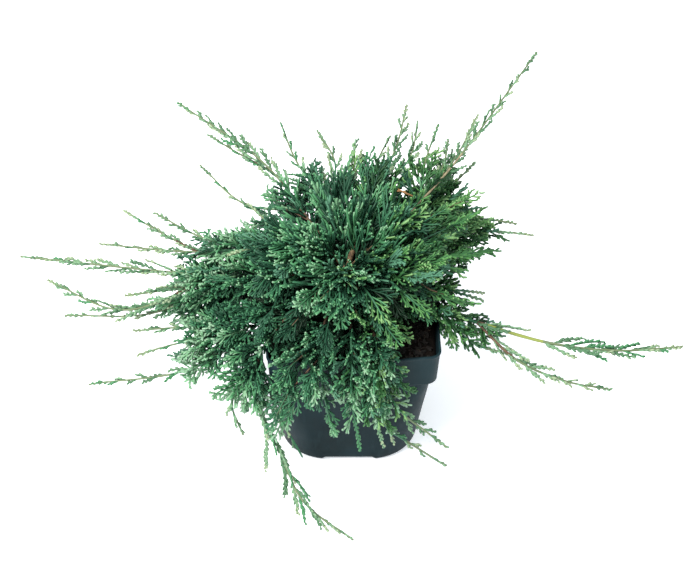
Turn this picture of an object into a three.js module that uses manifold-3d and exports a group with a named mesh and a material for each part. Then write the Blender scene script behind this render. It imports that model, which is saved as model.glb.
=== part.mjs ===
// A creeping juniper in its square nursery pot: the pot, its potting mix, a short stem, the boughs that
// spread from it and the masses of scale-leaved sprays that they carry, some running out into long whips.
// Millimetres and degrees, +Z up. The origin is the middle of the pot's underside. -Y is the front, and
// azimuth 0 is +X.

import * as THREE from "three";
import { mergeVertices } from "three/addons/utils/BufferGeometryUtils.js";
import Module from "manifold-3d";

const wasm = await Module();
wasm.setup();

// Pot: a thin moulded square pot with a deep band under the rim, pushed out a little by its root ball.
const WALL = 1.8;
const POT_HEIGHT = 150;
const RIM_HALF = 82; // half the width across the flats, before the bow
const BAND_HEIGHT = 37;
const BAND_STEP = 4.5; // how far the band stands out from the body
const BASE_HALF = 70;
const BASE_ROUND = 4; // the moulded round where the walls meet the underside
const BASE_THICK = 5.5;
const RIM_CORNER = 11;
const BASE_CORNER = 48; // the corners get rounder towards the base
const BASE_SHIFT = { x: -1.5, y: -3.5 }; // the base sits a little to the left of the rim and in front of it
const RIM_BOW = 6; // how far the middle of each side bulges at the rim
const POT_YAW = 3;
const BASE_YAW = 0; // the thin wall is twisted a little, so the base is less turned than the rim
const POT_SEGMENTS = 32;
const CORNER_CROWDING = 0.75; // draws the outline's points towards the corners
const CHANNEL_DEPTH = 3.5;
const CHANNEL_WIDE = 56;
const CHANNEL_NARROW = 16;
const CHANNEL_INNER = 14; // how near the middle each drainage channel comes
const DRAIN_RADIUS = 5;
const DRAIN_AT = 38;

// Potting mix.
const GAP = 0.3; // the clearance between touching pieces
const SOIL_TOP = 138;
const SOIL_EDGE = 135; // it sinks a little where it meets the wall
const SOIL_BUMP = 1.6;

// Wood.
const TRUNK_TOP = 196;
const TRUNK_RADIUS = 8.5;
const FLARE_RADIUS = 7;
const TRUNK_LEAN = { x: -3, y: 4 };
const BOUGH_ROOT_RADIUS = 2.5;
const BOUGH_TIP_RADIUS = 2.2;
const FORK_RADIUS = 1.5;
const WHIP_TIP_RADIUS = 0.8;

// Foliage. The crown is a low mound, and the sprays' tips end about its surface; below `level` it hangs.
const MOUND = {
  x: -31,
  y: 10,
  level: 156,
  wide: 168,
  deep: 152,
  rise: 104,
  drop: 66,
  lean: 0.34, // how far it shifts back and to the right for each millimetre up
  tilt: 0.16, // how much higher it lies to the right
  square: 2.6, // 2 would be a ball
};
// The part of the mound that leaves the potting mix bare, over the pot's near right corner.
const OPENING = { azimuth: 308, half: 21, under: 182, depth: 0.45 };
const CORE_SHARE = 0.84; // how much of the mound's depth the dense inside fills
const SPRAY_EVERY = 10.5; // spacing of the sprays along a stem inside the mound
const SHOOT_EVERY = 18; // and of the short shoots along a whip outside it
const SPRAY_LENGTH = 64;
const SPRAY_WIDTH = 27;
const SPRAY_THICK = 5;
const SHOOT_LENGTH = 27;
const SHOOT_WIDTH = 6.5;
const SHOOT_THICK = 3;
const TWIG_RADIUS = 1.4;
const TURN = 137.5; // the angle from each spray to the next round its stem
const CLEAR = 2.2; // how much nearer to its own limbs than to others' a spray stays
const LIMB_CLEAR = 5.5; // and how far from the middle of any other limb
const GROUND_CLEAR = 8;

const degrees = THREE.MathUtils.degToRad;

// The masses of foliage. Each one's bough leaves the trunk at the height `from` and ends at the station
// `bough`. Its first whip carries on from there, and the others fork from that one, at `forks` of its length.
// Stations are [azimuth, reach, height], and a whip's last one is its tip. Within the radius `full` of the
// middle a whip keeps its sprays outside the mound too, and up to the share `bare` it has no shoots.
const MASSES = [
  {
    name: "left_upper",
    from: 173, bough: [160, 54, 198], forks: [0.62, 0.4],
    whips: [
      [[170, 166, 191], [172, 249, 196]],
      [[166, 195, 202], [163, 236, 212]],
      [[168, 144, 206], [163, 202, 216]],
    ],
  },
  {
    name: "left",
    from: 165, bough: [180, 56, 182], full: 172, forks: [0.4, 0.34, 0.37],
    whips: [
      [[176, 161, 178], [176, 323, 190]],
      [[190, 216, 173], [179, 295, 174]],
      [[187, 190, 157], [184, 278, 150]],
      [[181.5, 180, 170], [183.6, 218, 170]],
    ],
  },
  {
    name: "left_lower",
    from: 158, bough: [200, 58, 168], forks: [0.4, 0.36],
    whips: [
      [[201, 158, 117], [193, 262, 95]],
      [[196, 170, 139], [194, 211, 127]],
      [[193, 168, 151], [191, 212, 149]],
    ],
  },
  {
    name: "front_left",
    from: 181, bough: [217, 60, 178], forks: [0.3, 0.36],
    whips: [
      [[219, 118, 131], [225, 120, 77], [236, 124, 51], [254, 159, 32], [271, 188, 20]],
      [[219, 144, 107], [225, 145, 70]],
      [[230, 108, 80], [246, 114, 40]],
    ],
  },
  {
    name: "front",
    from: 165, bough: [246, 52, 176], forks: [0.35],
    whips: [
      [[252, 92, 160], [257, 106, 126], [262, 110, 74]],
      [[241, 112, 134], [238, 114, 88]],
    ],
  },
  {
    name: "front_middle",
    from: 172, bough: [270, 52, 180], forks: [0.42],
    whips: [
      [[271, 92, 160], [271, 106, 122], [275, 116, 62]],
      [[279, 110, 124], [286, 118, 64]],
    ],
  },
  {
    name: "front_right",
    from: 160, bough: [290, 50, 172], forks: [0.3, 0.28],
    whips: [
      [[286, 92, 160], [284, 110, 124], [288, 112, 86], [299, 118, 60], [310, 146, 36]],
      [[291, 112, 118], [305, 129, 77], [309, 148, 66]],
      [[295, 110, 134], [303, 114, 120]],
    ],
  },
  {
    name: "right_lower",
    from: 169, bough: [334, 54, 176], full: 166, forks: [0.4, 0.28],
    whips: [
      [[341.5, 195, 154], [344.5, 258, 150], [348.5, 320, 150]],
      [[333.6, 174, 146], [337.2, 220, 126], [342.5, 262, 108]],
      [[332, 132, 153], [337, 168, 141]],
    ],
  },
  {
    name: "right",
    from: 152, bough: [358, 56, 172], forks: [0.5],
    whips: [
      [[356, 104, 172], [1, 132, 160]],
      [[350, 104, 178], [351, 130, 170]],
    ],
  },
  {
    name: "right_upper",
    from: 174, bough: [28, 56, 194], forks: [0.5],
    whips: [
      [[27, 155, 184], [20, 198, 181]],
      [[35, 161, 183], [26, 190, 184]],
    ],
  },
  {
    name: "right_back",
    from: 164, bough: [52, 56, 178], forks: [0.5],
    whips: [
      [[54, 150, 160], [52, 212, 130]],
      [[64, 156, 152], [67, 220, 118]],
    ],
  },
  {
    name: "back",
    from: 156, bough: [84, 56, 172], forks: [0.5],
    whips: [
      [[86, 158, 156], [84, 240, 114]],
      [[93, 160, 148], [97, 222, 106]],
    ],
  },
  {
    name: "back_left",
    from: 166, bough: [114, 56, 178], forks: [0.5],
    whips: [
      [[114, 150, 162], [112, 212, 126]],
      [[124, 150, 152], [128, 202, 114]],
    ],
  },
  {
    name: "left_back",
    from: 154, bough: [144, 56, 172], forks: [0.5],
    whips: [
      [[147, 140, 160], [149, 188, 138]],
      [[155, 144, 150], [158, 186, 126]],
    ],
  },
  {
    name: "upper_left",
    from: 179, bough: [128, 52, 206], forks: [0.5, 0.3],
    whips: [
      [[127, 143, 236], [133, 266, 260]],
      [[130, 180, 234], [132, 221, 239]],
      [[144, 129, 214], [141, 198, 228]],
    ],
  },
  {
    name: "upper_right",
    from: 182, bough: [44, 46, 214], full: 165, forks: [0.45],
    whips: [
      [[44, 136, 218], [46, 186, 226]],
      [[35, 138, 204], [34, 156, 202]],
    ],
  },
  {
    name: "crown_whip",
    from: 188, bough: [14, 30, 222], bare: 0.5, forks: [0.3, 0.36, 0.33],
    whips: [
      [[31, 101, 260], [47, 283, 312]],
      [[54, 130, 250], [58, 170, 265]],
      [[47, 163, 250], [49, 198, 273]],
      [[45.8, 134, 250], [52, 161, 258]],
    ],
  },
  {
    name: "crown_back",
    from: 192, bough: [70, 32, 222], forks: [0.36, 0.3],
    whips: [
      [[71, 150, 244], [72, 191, 265]],
      [[64, 141, 238], [67, 179, 256]],
      [[77, 131, 234], [75, 162, 243]],
    ],
  },
  {
    name: "crown_back_left",
    from: 186, bough: [106, 34, 218], forks: [0.36, 0.26],
    whips: [
      [[113, 144, 230], [113, 186, 250]],
      [[97, 132, 230], [102, 166, 246]],
      [[88, 112, 225], [85, 141, 237]],
    ],
  },
  {
    name: "crown_left",
    from: 190, bough: [176, 28, 216], forks: [0.3, 0.25],
    whips: [
      [[184, 86, 224], [188, 116, 222]],
      [[204, 78, 216], [212, 106, 206]],
      [[162, 82, 230], [156, 108, 238]],
    ],
  },
  {
    name: "crown_front",
    from: 179, bough: [256, 26, 214], forks: [0.3, 0.25],
    whips: [
      [[262, 66, 214], [266, 92, 198]],
      [[238, 66, 212], [234, 94, 198]],
      [[286, 62, 212], [292, 90, 196]],
    ],
  },
  {
    name: "crown_right",
    from: 185, bough: [326, 28, 214], forks: [0.3, 0.25],
    whips: [
      [[338, 80, 222], [342, 112, 216]],
      [[310, 74, 212], [314, 104, 200]],
      [[2, 84, 228], [10, 114, 226]],
    ],
  },
];

const matte = (color, roughness = 0.9) =>
  new THREE.MeshStandardMaterial({ color, roughness, metalness: 0, flatShading: true });
const POT_PLASTIC = matte("#20262b", 0.55);
const POTTING_MIX = matte("#2a1c15");
const BARK = matte("#7a5a44");
const SCALE_LEAF = matte("#2f7550", 0.75);

// A repeatable run of numbers from 0 to 1.
function seeded(seed) {
  let state = seed;
  return () => {
    state = (state + 0x6d2b79f5) | 0;
    let t = Math.imul(state ^ (state >>> 15), 1 | state);
    t = (t + Math.imul(t ^ (t >>> 7), 61 | t)) ^ t;
    return ((t ^ (t >>> 14)) >>> 0) / 4294967296;
  };
}

function solidOf(geometry) {
  const bare = geometry.clone();
  for (const name of ["normal", "uv"]) bare.deleteAttribute(name);
  const merged = mergeVertices(bare, 1e-4);
  return new wasm.Manifold(
    new wasm.Mesh({
      numProp: 3,
      vertProperties: merged.attributes.position.array,
      triVerts: new Uint32Array(merged.index.array),
    }),
  );
}

function meshOf(name, solid, material) {
  const made = solid.getMesh();
  const geometry = new THREE.BufferGeometry()
    .setAttribute("position", new THREE.BufferAttribute(new Float32Array(made.vertProperties), 3))
    .setIndex(new THREE.BufferAttribute(made.triVerts, 1));
  geometry.computeVertexNormals();
  const mesh = new THREE.Mesh(geometry, material);
  mesh.name = name;
  return mesh;
}

// Moves every vertex of a geometry by a function of its place.
function moved(geometry, place) {
  const position = geometry.attributes.position;
  const v = new THREE.Vector3();
  for (let i = 0; i < position.count; i++) {
    place(v.fromBufferAttribute(position, i));
    position.setXYZ(i, v.x, v.y, v.z);
  }
  return geometry;
}

const mix = (a, b, t) => a + (b - a) * t;
const ramp = (x, a, b) => Math.min(1, Math.max(0, (x - a) / (b - a)));

// How far the outline of a rounded square lies from its middle, in the direction of an angle.
function squareReach(half, corner, bow, angle) {
  const a = Math.abs(Math.cos(angle));
  const b = Math.abs(Math.sin(angle));
  const [c, s] = a > b ? [a, b] : [b, a];
  const q = half - corner;
  const flat = (half * s) / c <= q;
  const reach = flat ? half / c : q * (c + s) + Math.sqrt(q * q * ((c + s) ** 2 - 2) + corner * corner);
  return reach * (1 + (bow / half) * Math.cos(2 * angle) ** 2);
}

const cornerAt = (z) => mix(BASE_CORNER, RIM_CORNER, ramp(z, 0, POT_HEIGHT - BAND_HEIGHT));
const bowAt = (z) => mix(0, RIM_BOW, ramp(z, 0, POT_HEIGHT) ** 1.5);
const shiftAt = (z) => 1 - ramp(z, 0, POT_HEIGHT - BAND_HEIGHT);
const yawAt = (z) => degrees(mix(POT_YAW, BASE_YAW, shiftAt(z)));

// Turns a lathed shape into a rounded square one: a point's radius is the half width there.
function squareUp(geometry, inset = 0) {
  return moved(geometry, (v) => {
    const half = Math.hypot(v.x, v.y);
    if (half < 1e-6) return;
    const round = Math.atan2(v.y, v.x);
    const angle = round + (CORNER_CROWDING / 4) * Math.sin(4 * round);
    const lost = outerHalf(v.z) - half;
    const corner = Math.max(2, cornerAt(v.z) - Math.max(inset, Math.min(lost, WALL + GAP)));
    const reach = squareReach(half, Math.min(corner, half * 0.9), bowAt(v.z), angle);
    const turned = angle + yawAt(v.z);
    v.x = reach * Math.cos(turned) + BASE_SHIFT.x * shiftAt(v.z);
    v.y = reach * Math.sin(turned) + BASE_SHIFT.y * shiftAt(v.z);
  });
}

// The pot's half width outside, at a height.
function outerHalf(z) {
  const bandFoot = POT_HEIGHT - BAND_HEIGHT;
  const bodyTop = RIM_HALF - BAND_STEP - 2;
  if (z >= bandFoot) return mix(RIM_HALF - 2, RIM_HALF, ramp(z, bandFoot, POT_HEIGHT));
  const wall = mix(BASE_HALF, bodyTop, ramp(z, 0, bandFoot));
  return wall - BASE_ROUND * (1 - ramp(z, 0, BASE_ROUND)) ** 2;
}

// Lathe profiles are [half width, height], turned about +Z.
function lathed(profile) {
  const points = profile.map(([half, z]) => new THREE.Vector2(half, z));
  return new THREE.LatheGeometry(points, POT_SEGMENTS).rotateX(Math.PI / 2);
}

// The pot's hollow up to the edge of the potting mix, drawn in by a clearance, as profile points upwards.
function hollowProfile(clearance) {
  const bandFoot = POT_HEIGHT - BAND_HEIGHT;
  const inside = (z) => [outerHalf(z) - WALL - clearance, z];
  return [
    [0, BASE_THICK + clearance],
    [outerHalf(BASE_THICK) - WALL - 2 - clearance, BASE_THICK + clearance],
    inside(BASE_THICK + 3),
    [inside(bandFoot - 1)[0], bandFoot + 0.6 + clearance],
    inside(bandFoot + 2.2 + clearance),
    inside(SOIL_EDGE),
  ];
}

function makePot() {
  const bandFoot = POT_HEIGHT - BAND_HEIGHT;
  const outer = [0, 2, BASE_ROUND, bandFoot - 0.5].map((z) => [outerHalf(z), z]);
  const band = [bandFoot + 1.2, POT_HEIGHT - 1].map((z) => [outerHalf(z), z]);
  const full = solidOf(squareUp(lathed([
    [0, 0],
    ...outer,
    [outerHalf(bandFoot) - 1.2, bandFoot],
    ...band,
    [RIM_HALF - 0.5, POT_HEIGHT],
    [0, POT_HEIGHT],
  ])));
  const hollow = solidOf(squareUp(lathed([
    ...hollowProfile(0),
    [RIM_HALF - WALL, POT_HEIGHT + 1],
    [0, POT_HEIGHT + 1],
  ]), WALL));
  let pot = full.subtract(hollow);
  // Four drainage channels leave a cross of feet, and each has a hole through the floor.
  for (let side = 0; side < 4; side++) {
    const turn = degrees(90 * side + BASE_YAW);
    const outline = new THREE.Shape()
      .moveTo(CHANNEL_INNER, -CHANNEL_NARROW / 2)
      .lineTo(BASE_HALF + 5, -CHANNEL_WIDE / 2)
      .lineTo(BASE_HALF + 5, CHANNEL_WIDE / 2)
      .lineTo(CHANNEL_INNER, CHANNEL_NARROW / 2);
    const channel = new THREE.ExtrudeGeometry(outline, { depth: CHANNEL_DEPTH + 2, bevelEnabled: false })
      .translate(0, 0, -2)
      .rotateZ(turn)
      .translate(BASE_SHIFT.x, BASE_SHIFT.y, 0);
    const drain = new THREE.CylinderGeometry(DRAIN_RADIUS, DRAIN_RADIUS, 4 * BASE_THICK, 12)
      .rotateX(Math.PI / 2)
      .translate(DRAIN_AT, 0, 0)
      .rotateZ(turn)
      .translate(BASE_SHIFT.x, BASE_SHIFT.y, 0);
    pot = pot.subtract(solidOf(channel)).subtract(solidOf(drain));
  }
  return pot;
}

function makeSoil() {
  const edge = outerHalf(SOIL_TOP) - WALL - GAP;
  const top = [edge - 4, 60, 22, 0].map((half) => [half, SOIL_TOP]);
  const profile = [...hollowProfile(GAP), ...top];
  return solidOf(
    moved(squareUp(lathed(profile), WALL + GAP), (v) => {
      const radius = Math.hypot(v.x, v.y);
      if (v.z < SOIL_TOP - 1 || radius < 40) return;
      v.z += SOIL_BUMP * Math.sin(v.x * 0.31 + 1) * Math.sin(v.y * 0.27);
    }),
  );
}

function polar(azimuth, reach, height) {
  const a = degrees(azimuth);
  return new THREE.Vector3(reach * Math.cos(a), reach * Math.sin(a), height);
}

// A limb's centreline runs smoothly through its stations.
const limbLine = (points) => new THREE.CatmullRomCurve3(points, false, "centripetal");

const UP = new THREE.Vector3(0, 0, 1);
const ACROSS = new THREE.Vector3(1, 0, 0);

// Frames along a stretch of a curve, carried on from one to the next so that they never flip.
function framesAlong(curve, t0, t1, steps) {
  const frames = [];
  let side = new THREE.Vector3();
  for (let i = 0; i <= steps; i++) {
    const t = mix(t0, t1, i / steps);
    const along = curve.getTangentAt(t).normalize();
    if (i === 0) side.crossVectors(along, Math.abs(along.z) < 0.9 ? UP : ACROSS);
    side = side.clone().addScaledVector(along, -side.dot(along)).normalize();
    frames.push({ at: curve.getPointAt(t), along, side, out: new THREE.Vector3().crossVectors(side, along) });
  }
  return frames;
}

// A tapering limb: a cylinder whose rings are moved along a stretch of a curve.
function limb(curve, t0, t1, sides, steps, radiusAt) {
  const frames = framesAlong(curve, t0, t1, steps);
  return moved(new THREE.CylinderGeometry(1, 1, 1, sides, steps), (v) => {
    const share = v.y + 0.5;
    const { at, side, out } = frames[Math.round(share * steps)];
    const r = radiusAt(share);
    const x = v.x * r;
    const z = v.z * r;
    v.copy(at).addScaledVector(side, x).addScaledVector(out, z);
  });
}

// Places a shape that points along +Y at a point, facing a direction, its flat side turned by a roll.
function placed(geometry, at, along, roll) {
  const turn = new THREE.Quaternion().setFromUnitVectors(new THREE.Vector3(0, 1, 0), along);
  const spin = new THREE.Quaternion().setFromAxisAngle(new THREE.Vector3(0, 1, 0), roll);
  return geometry.applyQuaternion(turn.multiply(spin)).translate(at.x, at.y, at.z);
}

// A shoot: a flattened spindle of scale leaves, its root at the origin.
function shootShape(length, width) {
  return new THREE.OctahedronGeometry(1).translate(0, 1, 0).scale(width / 2, length / 2, SHOOT_THICK / 2);
}

// A spray: a flat blade with two teeth on each side for its side shoots, thickest in the middle.
// Outline points are [share of the half width, share of the length].
const SPRAY_EDGE = [[0.95, 0.4], [0.42, 0.5], [0.78, 0.74], [0.26, 0.76]];

function sprayOutline() {
  const right = [[0, 0], ...SPRAY_EDGE, [0, 1]];
  const left = SPRAY_EDGE.map(([x, y]) => [-x, y]).reverse();
  return [...right, ...left];
}

function sprayShape(length, width) {
  const outline = sprayOutline();
  const ring = outline.flatMap(([x, y]) => [(x * width) / 2, y * length, 0]);
  const middle = [0, length * 0.5, SPRAY_THICK / 2, 0, length * 0.5, -SPRAY_THICK / 2];
  const n = outline.length;
  const faces = outline.flatMap((_, i) => [i, (i + 1) % n, n, (i + 1) % n, i, n + 1]);
  return new THREE.BufferGeometry()
    .setAttribute("position", new THREE.Float32BufferAttribute([...ring, ...middle], 3))
    .setIndex(faces);
}

function twigShape(length, radius) {
  return new THREE.CylinderGeometry(radius * 0.7, radius, length, 3, 1).translate(0, length / 2, 0);
}

const trunkLine = new THREE.LineCurve3(
  new THREE.Vector3(0, 0, SOIL_TOP + GAP),
  new THREE.Vector3(TRUNK_LEAN.x, TRUNK_LEAN.y, TRUNK_TOP),
);
const trunkRadius = (share) => TRUNK_RADIUS * (1 - 0.25 * share) + FLARE_RADIUS * Math.exp(-7 * share);

// The trunk, a little larger on every side for the room that it needs.
function trunkShape(more) {
  const upright = new THREE.CylinderGeometry(1, 1, 1, 10, 7).rotateX(Math.PI / 2);
  return solidOf(
    moved(upright, (v) => {
      const share = v.z + 0.5;
      const r = trunkRadius(share) + more;
      const { x, y, z } = trunkLine.getPoint(share);
      v.set(x + v.x * r, y + v.y * r, share > 0.999 ? z + more : z);
    }),
  );
}

// Every mass's centrelines: its bough and first whip are one curve, and the other whips fork from it.
function planMass(mass, index) {
  const root = trunkLine.getPoint((mass.from - SOIL_TOP) / (TRUNK_TOP - SOIL_TOP));
  const points = mass.whips.map((stations) => stations.map((station) => polar(...station)));
  const main = limbLine([root, polar(...mass.bough), ...points[0]]);
  const others = points.slice(1).map((rest, i) => limbLine([main.getPointAt(mass.forks[i]), ...rest]));
  const lines = [main, ...others];
  const boughReach = polar(...mass.bough).distanceTo(root);
  let boughEnd = 0;
  while (main.getPointAt(boughEnd).distanceTo(root) < boughReach) boughEnd += 0.002;
  const samples = lines.flatMap((line) => line.getSpacedPoints(Math.ceil(line.getLength() / 4)));
  return { ...mass, index, lines, boughEnd, samples };
}
const plans = MASSES.map(planMass);

function nearest(samples, p) {
  let best = Infinity;
  for (const s of samples) best = Math.min(best, s.distanceToSquared(p));
  return Math.sqrt(best);
}

// Whether a point is clear of the pot, the trunk and the ground.
function inTheOpen(p) {
  if (p.z < GROUND_CLEAR) return false;
  if (p.z < POT_HEIGHT + 2.5) {
    const z = Math.min(p.z, POT_HEIGHT);
    const x = p.x - BASE_SHIFT.x * shiftAt(z);
    const y = p.y - BASE_SHIFT.y * shiftAt(z);
    const angle = Math.atan2(y, x) - yawAt(z);
    const wall = squareReach(outerHalf(z), cornerAt(z), bowAt(z), angle);
    if (Math.hypot(x, y) < wall + 2.5) return false;
  }
  if (p.z > TRUNK_TOP + 3) return true;
  const share = ramp(p.z, SOIL_TOP, TRUNK_TOP);
  return Math.hypot(p.x - TRUNK_LEAN.x * share, p.y - TRUNK_LEAN.y * share) > trunkRadius(share) + 3;
}

// Whether a point lies in a mass's own space: nearer to its limbs than to any other's.
function inSpace(plan, p) {
  if (!inTheOpen(p)) return false;
  const least = Math.max(nearest(plan.samples, p) + CLEAR, LIMB_CLEAR);
  return plans.every((other) => other === plan || nearest(other.samples, p) > least);
}

// How deep a point lies in the mound: 0 in its middle and 1 on its surface, which is rounder than a box and
// fuller than a ball, and leans back and to the right as it rises.
function moundShare(p) {
  const up = p.z - MOUND.level - MOUND.tilt * p.x;
  const shares = [
    (p.x - MOUND.x - MOUND.lean * up) / MOUND.wide,
    (p.y - MOUND.y - MOUND.lean * up) / MOUND.deep,
    up / (up > 0 ? MOUND.rise : MOUND.drop),
  ];
  const share = shares.reduce((sum, part) => sum + Math.abs(part) ** MOUND.square, 0) ** (1 / MOUND.square);
  const bearing = THREE.MathUtils.radToDeg(Math.atan2(p.y, p.x)) + 360 - OPENING.azimuth;
  const aside = Math.min(1, Math.abs(bearing) / OPENING.half);
  return share * (1 + OPENING.depth * (1 - aside * aside) * ramp(p.z, OPENING.under, OPENING.under - 20));
}

// A direction that leans away from a stem's own, at an angle, to the side given by a turn round it.
function leaning(frame, turn, angle, lift) {
  const outward = frame.side.clone().multiplyScalar(Math.cos(turn)).addScaledVector(frame.out, Math.sin(turn));
  return frame.along.clone().multiplyScalar(Math.cos(degrees(angle)))
    .addScaledVector(outward, Math.sin(degrees(angle)))
    .add(new THREE.Vector3(0, 0, lift)).normalize();
}

// The dense part's core: a ball round the stem, each corner drawn in until it is in the mass's own space.
function coreShape(plan, centre) {
  return moved(new THREE.IcosahedronGeometry(1, 1), (v) => {
    const ray = v.clone();
    let reach = 0;
    for (; reach < 100; reach += 2) {
      v.copy(centre).addScaledVector(ray, reach + 2);
      if (moundShare(v) > CORE_SHARE || !inSpace(plan, v)) break;
    }
    v.copy(centre).addScaledVector(ray, Math.max(1, reach * 0.96));
  });
}

// Whether the test points of a placed shape's outline are all in a mass's space.
function fits(plan, tests, at, along, roll) {
  const points = placed(new THREE.BufferGeometry().setFromPoints(tests), at, along, roll).attributes.position;
  const p = new THREE.Vector3();
  for (let i = 0; i < points.count; i++) {
    if (!inSpace(plan, p.fromBufferAttribute(points, i))) return false;
  }
  return true;
}

// How far a direction goes from a point inside the mound to where its spray's tip is to be.
function reachOut(plan, from, along, size, share) {
  const tip = from.clone();
  let away = 0;
  while (away < 130) {
    if (away >= 0.55 * size && moundShare(tip) >= share) break;
    if (away >= 12 && !inSpace(plan, tip)) break;
    away += 2;
    tip.copy(from).addScaledVector(along, away);
  }
  return away;
}

// A mass: its stems, the sprays on their twigs where a stem runs inside the mound, the short shoots where it
// runs outside as a whip, and the core, all fused and cut clear of every limb.
function makeMass(plan) {
  const random = seeded(101 + plan.index);
  const pieces = [];
  const addSpray = (at, along, roll, length) => {
    const width = SPRAY_WIDTH * (length / SPRAY_LENGTH);
    const edge = sprayOutline().slice(1).map(([x, y]) => new THREE.Vector3((x * width) / 2, y * length, 0));
    const rib = [0.2, 0.4, 0.6, 0.8].map((share) => new THREE.Vector3(0, share * length, 0));
    const fitting = fits(plan, [...edge, ...rib], at, along, roll);
    if (fitting) pieces.push(solidOf(placed(sprayShape(length, width), at, along, roll)));
    return fitting;
  };
  const addSprayOnTwig = (at, along, roll, size, share) => {
    const away = reachOut(plan, at, along, size, share);
    const stalk = away - size;
    if (stalk > 4) {
      const joint = at.clone().addScaledVector(along, stalk);
      if (addSpray(joint, along, roll, size)) {
        pieces.push(solidOf(placed(twigShape(stalk + 4, TWIG_RADIUS), at, along, roll)));
      }
    } else if (away > 30) {
      addSpray(at, along, roll, away);
    }
  };
  const addShoot = (at, along, roll, length) => {
    const rib = [0.3, 0.5, 0.75, 1].map((share) => new THREE.Vector3(0, share * length, 0));
    if (!fits(plan, rib, at, along, roll)) return;
    pieces.push(solidOf(placed(shootShape(length, SHOOT_WIDTH), at, along, roll)));
  };
  plan.lines.forEach((line, i) => {
    const length = line.getLength();
    const start = i === 0 ? plan.boughEnd + GAP / length : 0;
    const rootRadius = i === 0 ? BOUGH_TIP_RADIUS : FORK_RADIUS;
    const steps = Math.max(4, Math.round((length * (1 - start)) / 32));
    pieces.push(solidOf(limb(line, start, 1, 3, steps, (share) => mix(rootRadius, WHIP_TIP_RADIUS, share))));
    const sprayStep = SPRAY_EVERY * (i === 0 ? 1 : 1.4);
    const firstShoot = i === 0 ? plan.bare ?? 0 : 0;
    let t = start + 6 / length;
    for (let k = 0; t < 1 - 3 / length; k++) {
      const frame = framesAlong(line, t, Math.min(1, t + 0.01), 1)[0];
      const turn = degrees(k * TURN) + random();
      const full = Math.hypot(frame.at.x, frame.at.y) < (plan.full ?? 0);
      if (full || moundShare(frame.at) < 0.97) {
        const along = leaning(frame, turn, 52 + 16 * random(), 0.25);
        const share = 0.95 + 0.14 * random();
        const size = SPRAY_LENGTH * (0.75 + 0.5 * random());
        addSprayOnTwig(frame.at, along, random() * 2 * Math.PI, size, share);
        t += (sprayStep * (0.8 + 0.4 * random())) / length;
      } else {
        const along = leaning(frame, turn, 24 + 10 * random(), 0.06);
        const taper = mix(1, 0.6, ramp(t, 0.5, 1));
        const size = SHOOT_LENGTH * taper * (0.8 + 0.4 * random());
        if (t > firstShoot) addShoot(frame.at, along, turn, size);
        t += (SHOOT_EVERY * (0.8 + 0.4 * random())) / length;
      }
    }
  });
  const main = plan.lines[0];
  let centre = plan.boughEnd;
  while (centre < 0.9 && moundShare(main.getPointAt(centre)) < 0.6) centre += 0.01;
  pieces.push(solidOf(coreShape(plan, main.getPointAt(Math.max(centre, plan.boughEnd + 0.12)))));
  return largest(wasm.Manifold.union(pieces).subtract(limbRoom));
}

const largest = (solid) => solid.decompose().reduce((a, b) => (a.volume() > b.volume() ? a : b));

// A bough, a little larger on every side for the room that it needs.
function boughShape(plan, more) {
  const line = plan.lines[0];
  const end = plan.boughEnd + more / line.getLength();
  return solidOf(limb(line, 0, end, 5, 4, (share) => mix(BOUGH_ROOT_RADIUS, BOUGH_TIP_RADIUS, share) + more));
}

// The room that the pot, the trunk and the boughs need, which the foliage is cut clear of.
const trunkRoom = trunkShape(GAP);
const potRoom = solidOf(squareUp(lathed([
  [0, -1],
  [outerHalf(0) + 1, -1],
  [outerHalf(POT_HEIGHT - BAND_HEIGHT) + 1, POT_HEIGHT - BAND_HEIGHT],
  [RIM_HALF + 1, POT_HEIGHT + 1],
  [0, POT_HEIGHT + 1],
])));
const boughRooms = plans.map((plan) => boughShape(plan, 1.3 * GAP));
const limbRoom = wasm.Manifold.union([potRoom, trunkRoom, ...boughRooms]);

const plant = new THREE.Group();
plant.add(meshOf("pot", makePot(), POT_PLASTIC));
plant.add(meshOf("potting_mix", makeSoil(), POTTING_MIX));
plant.add(meshOf("trunk", trunkShape(0), BARK));
for (const plan of plans) {
  plant.add(meshOf("bough_" + plan.name, largest(boughShape(plan, 0).subtract(trunkRoom)), BARK));
  plant.add(meshOf("foliage_" + plan.name, makeMass(plan), SCALE_LEAF));
}

export default plant;
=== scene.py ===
# %% [markdown]
# # A creeping juniper in its nursery pot
# The plant is a young carpet juniper: a short stem, boughs that spread from it, and sprays of tiny scale
# leaves that crowd into a low mound, with long whips that run out of it. It stands in a thin square pot of
# black plastic. The imported CAD model comes first, as the fixed frame that every piece fits.

# %% Load the imported frame
import math

import bpy
import numpy as np
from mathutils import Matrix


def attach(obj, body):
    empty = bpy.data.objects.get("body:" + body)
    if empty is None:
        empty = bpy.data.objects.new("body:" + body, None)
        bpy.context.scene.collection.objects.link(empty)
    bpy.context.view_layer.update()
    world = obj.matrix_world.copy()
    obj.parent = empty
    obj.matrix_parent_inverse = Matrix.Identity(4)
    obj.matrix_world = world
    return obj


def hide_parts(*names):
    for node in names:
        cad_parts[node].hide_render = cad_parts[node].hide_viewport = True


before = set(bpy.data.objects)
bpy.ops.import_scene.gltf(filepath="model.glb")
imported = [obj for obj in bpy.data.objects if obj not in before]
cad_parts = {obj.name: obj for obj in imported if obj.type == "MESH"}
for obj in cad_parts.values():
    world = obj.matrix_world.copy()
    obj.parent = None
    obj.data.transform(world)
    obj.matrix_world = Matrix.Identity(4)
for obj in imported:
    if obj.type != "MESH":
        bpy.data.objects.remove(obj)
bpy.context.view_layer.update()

MM = 0.001

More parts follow.
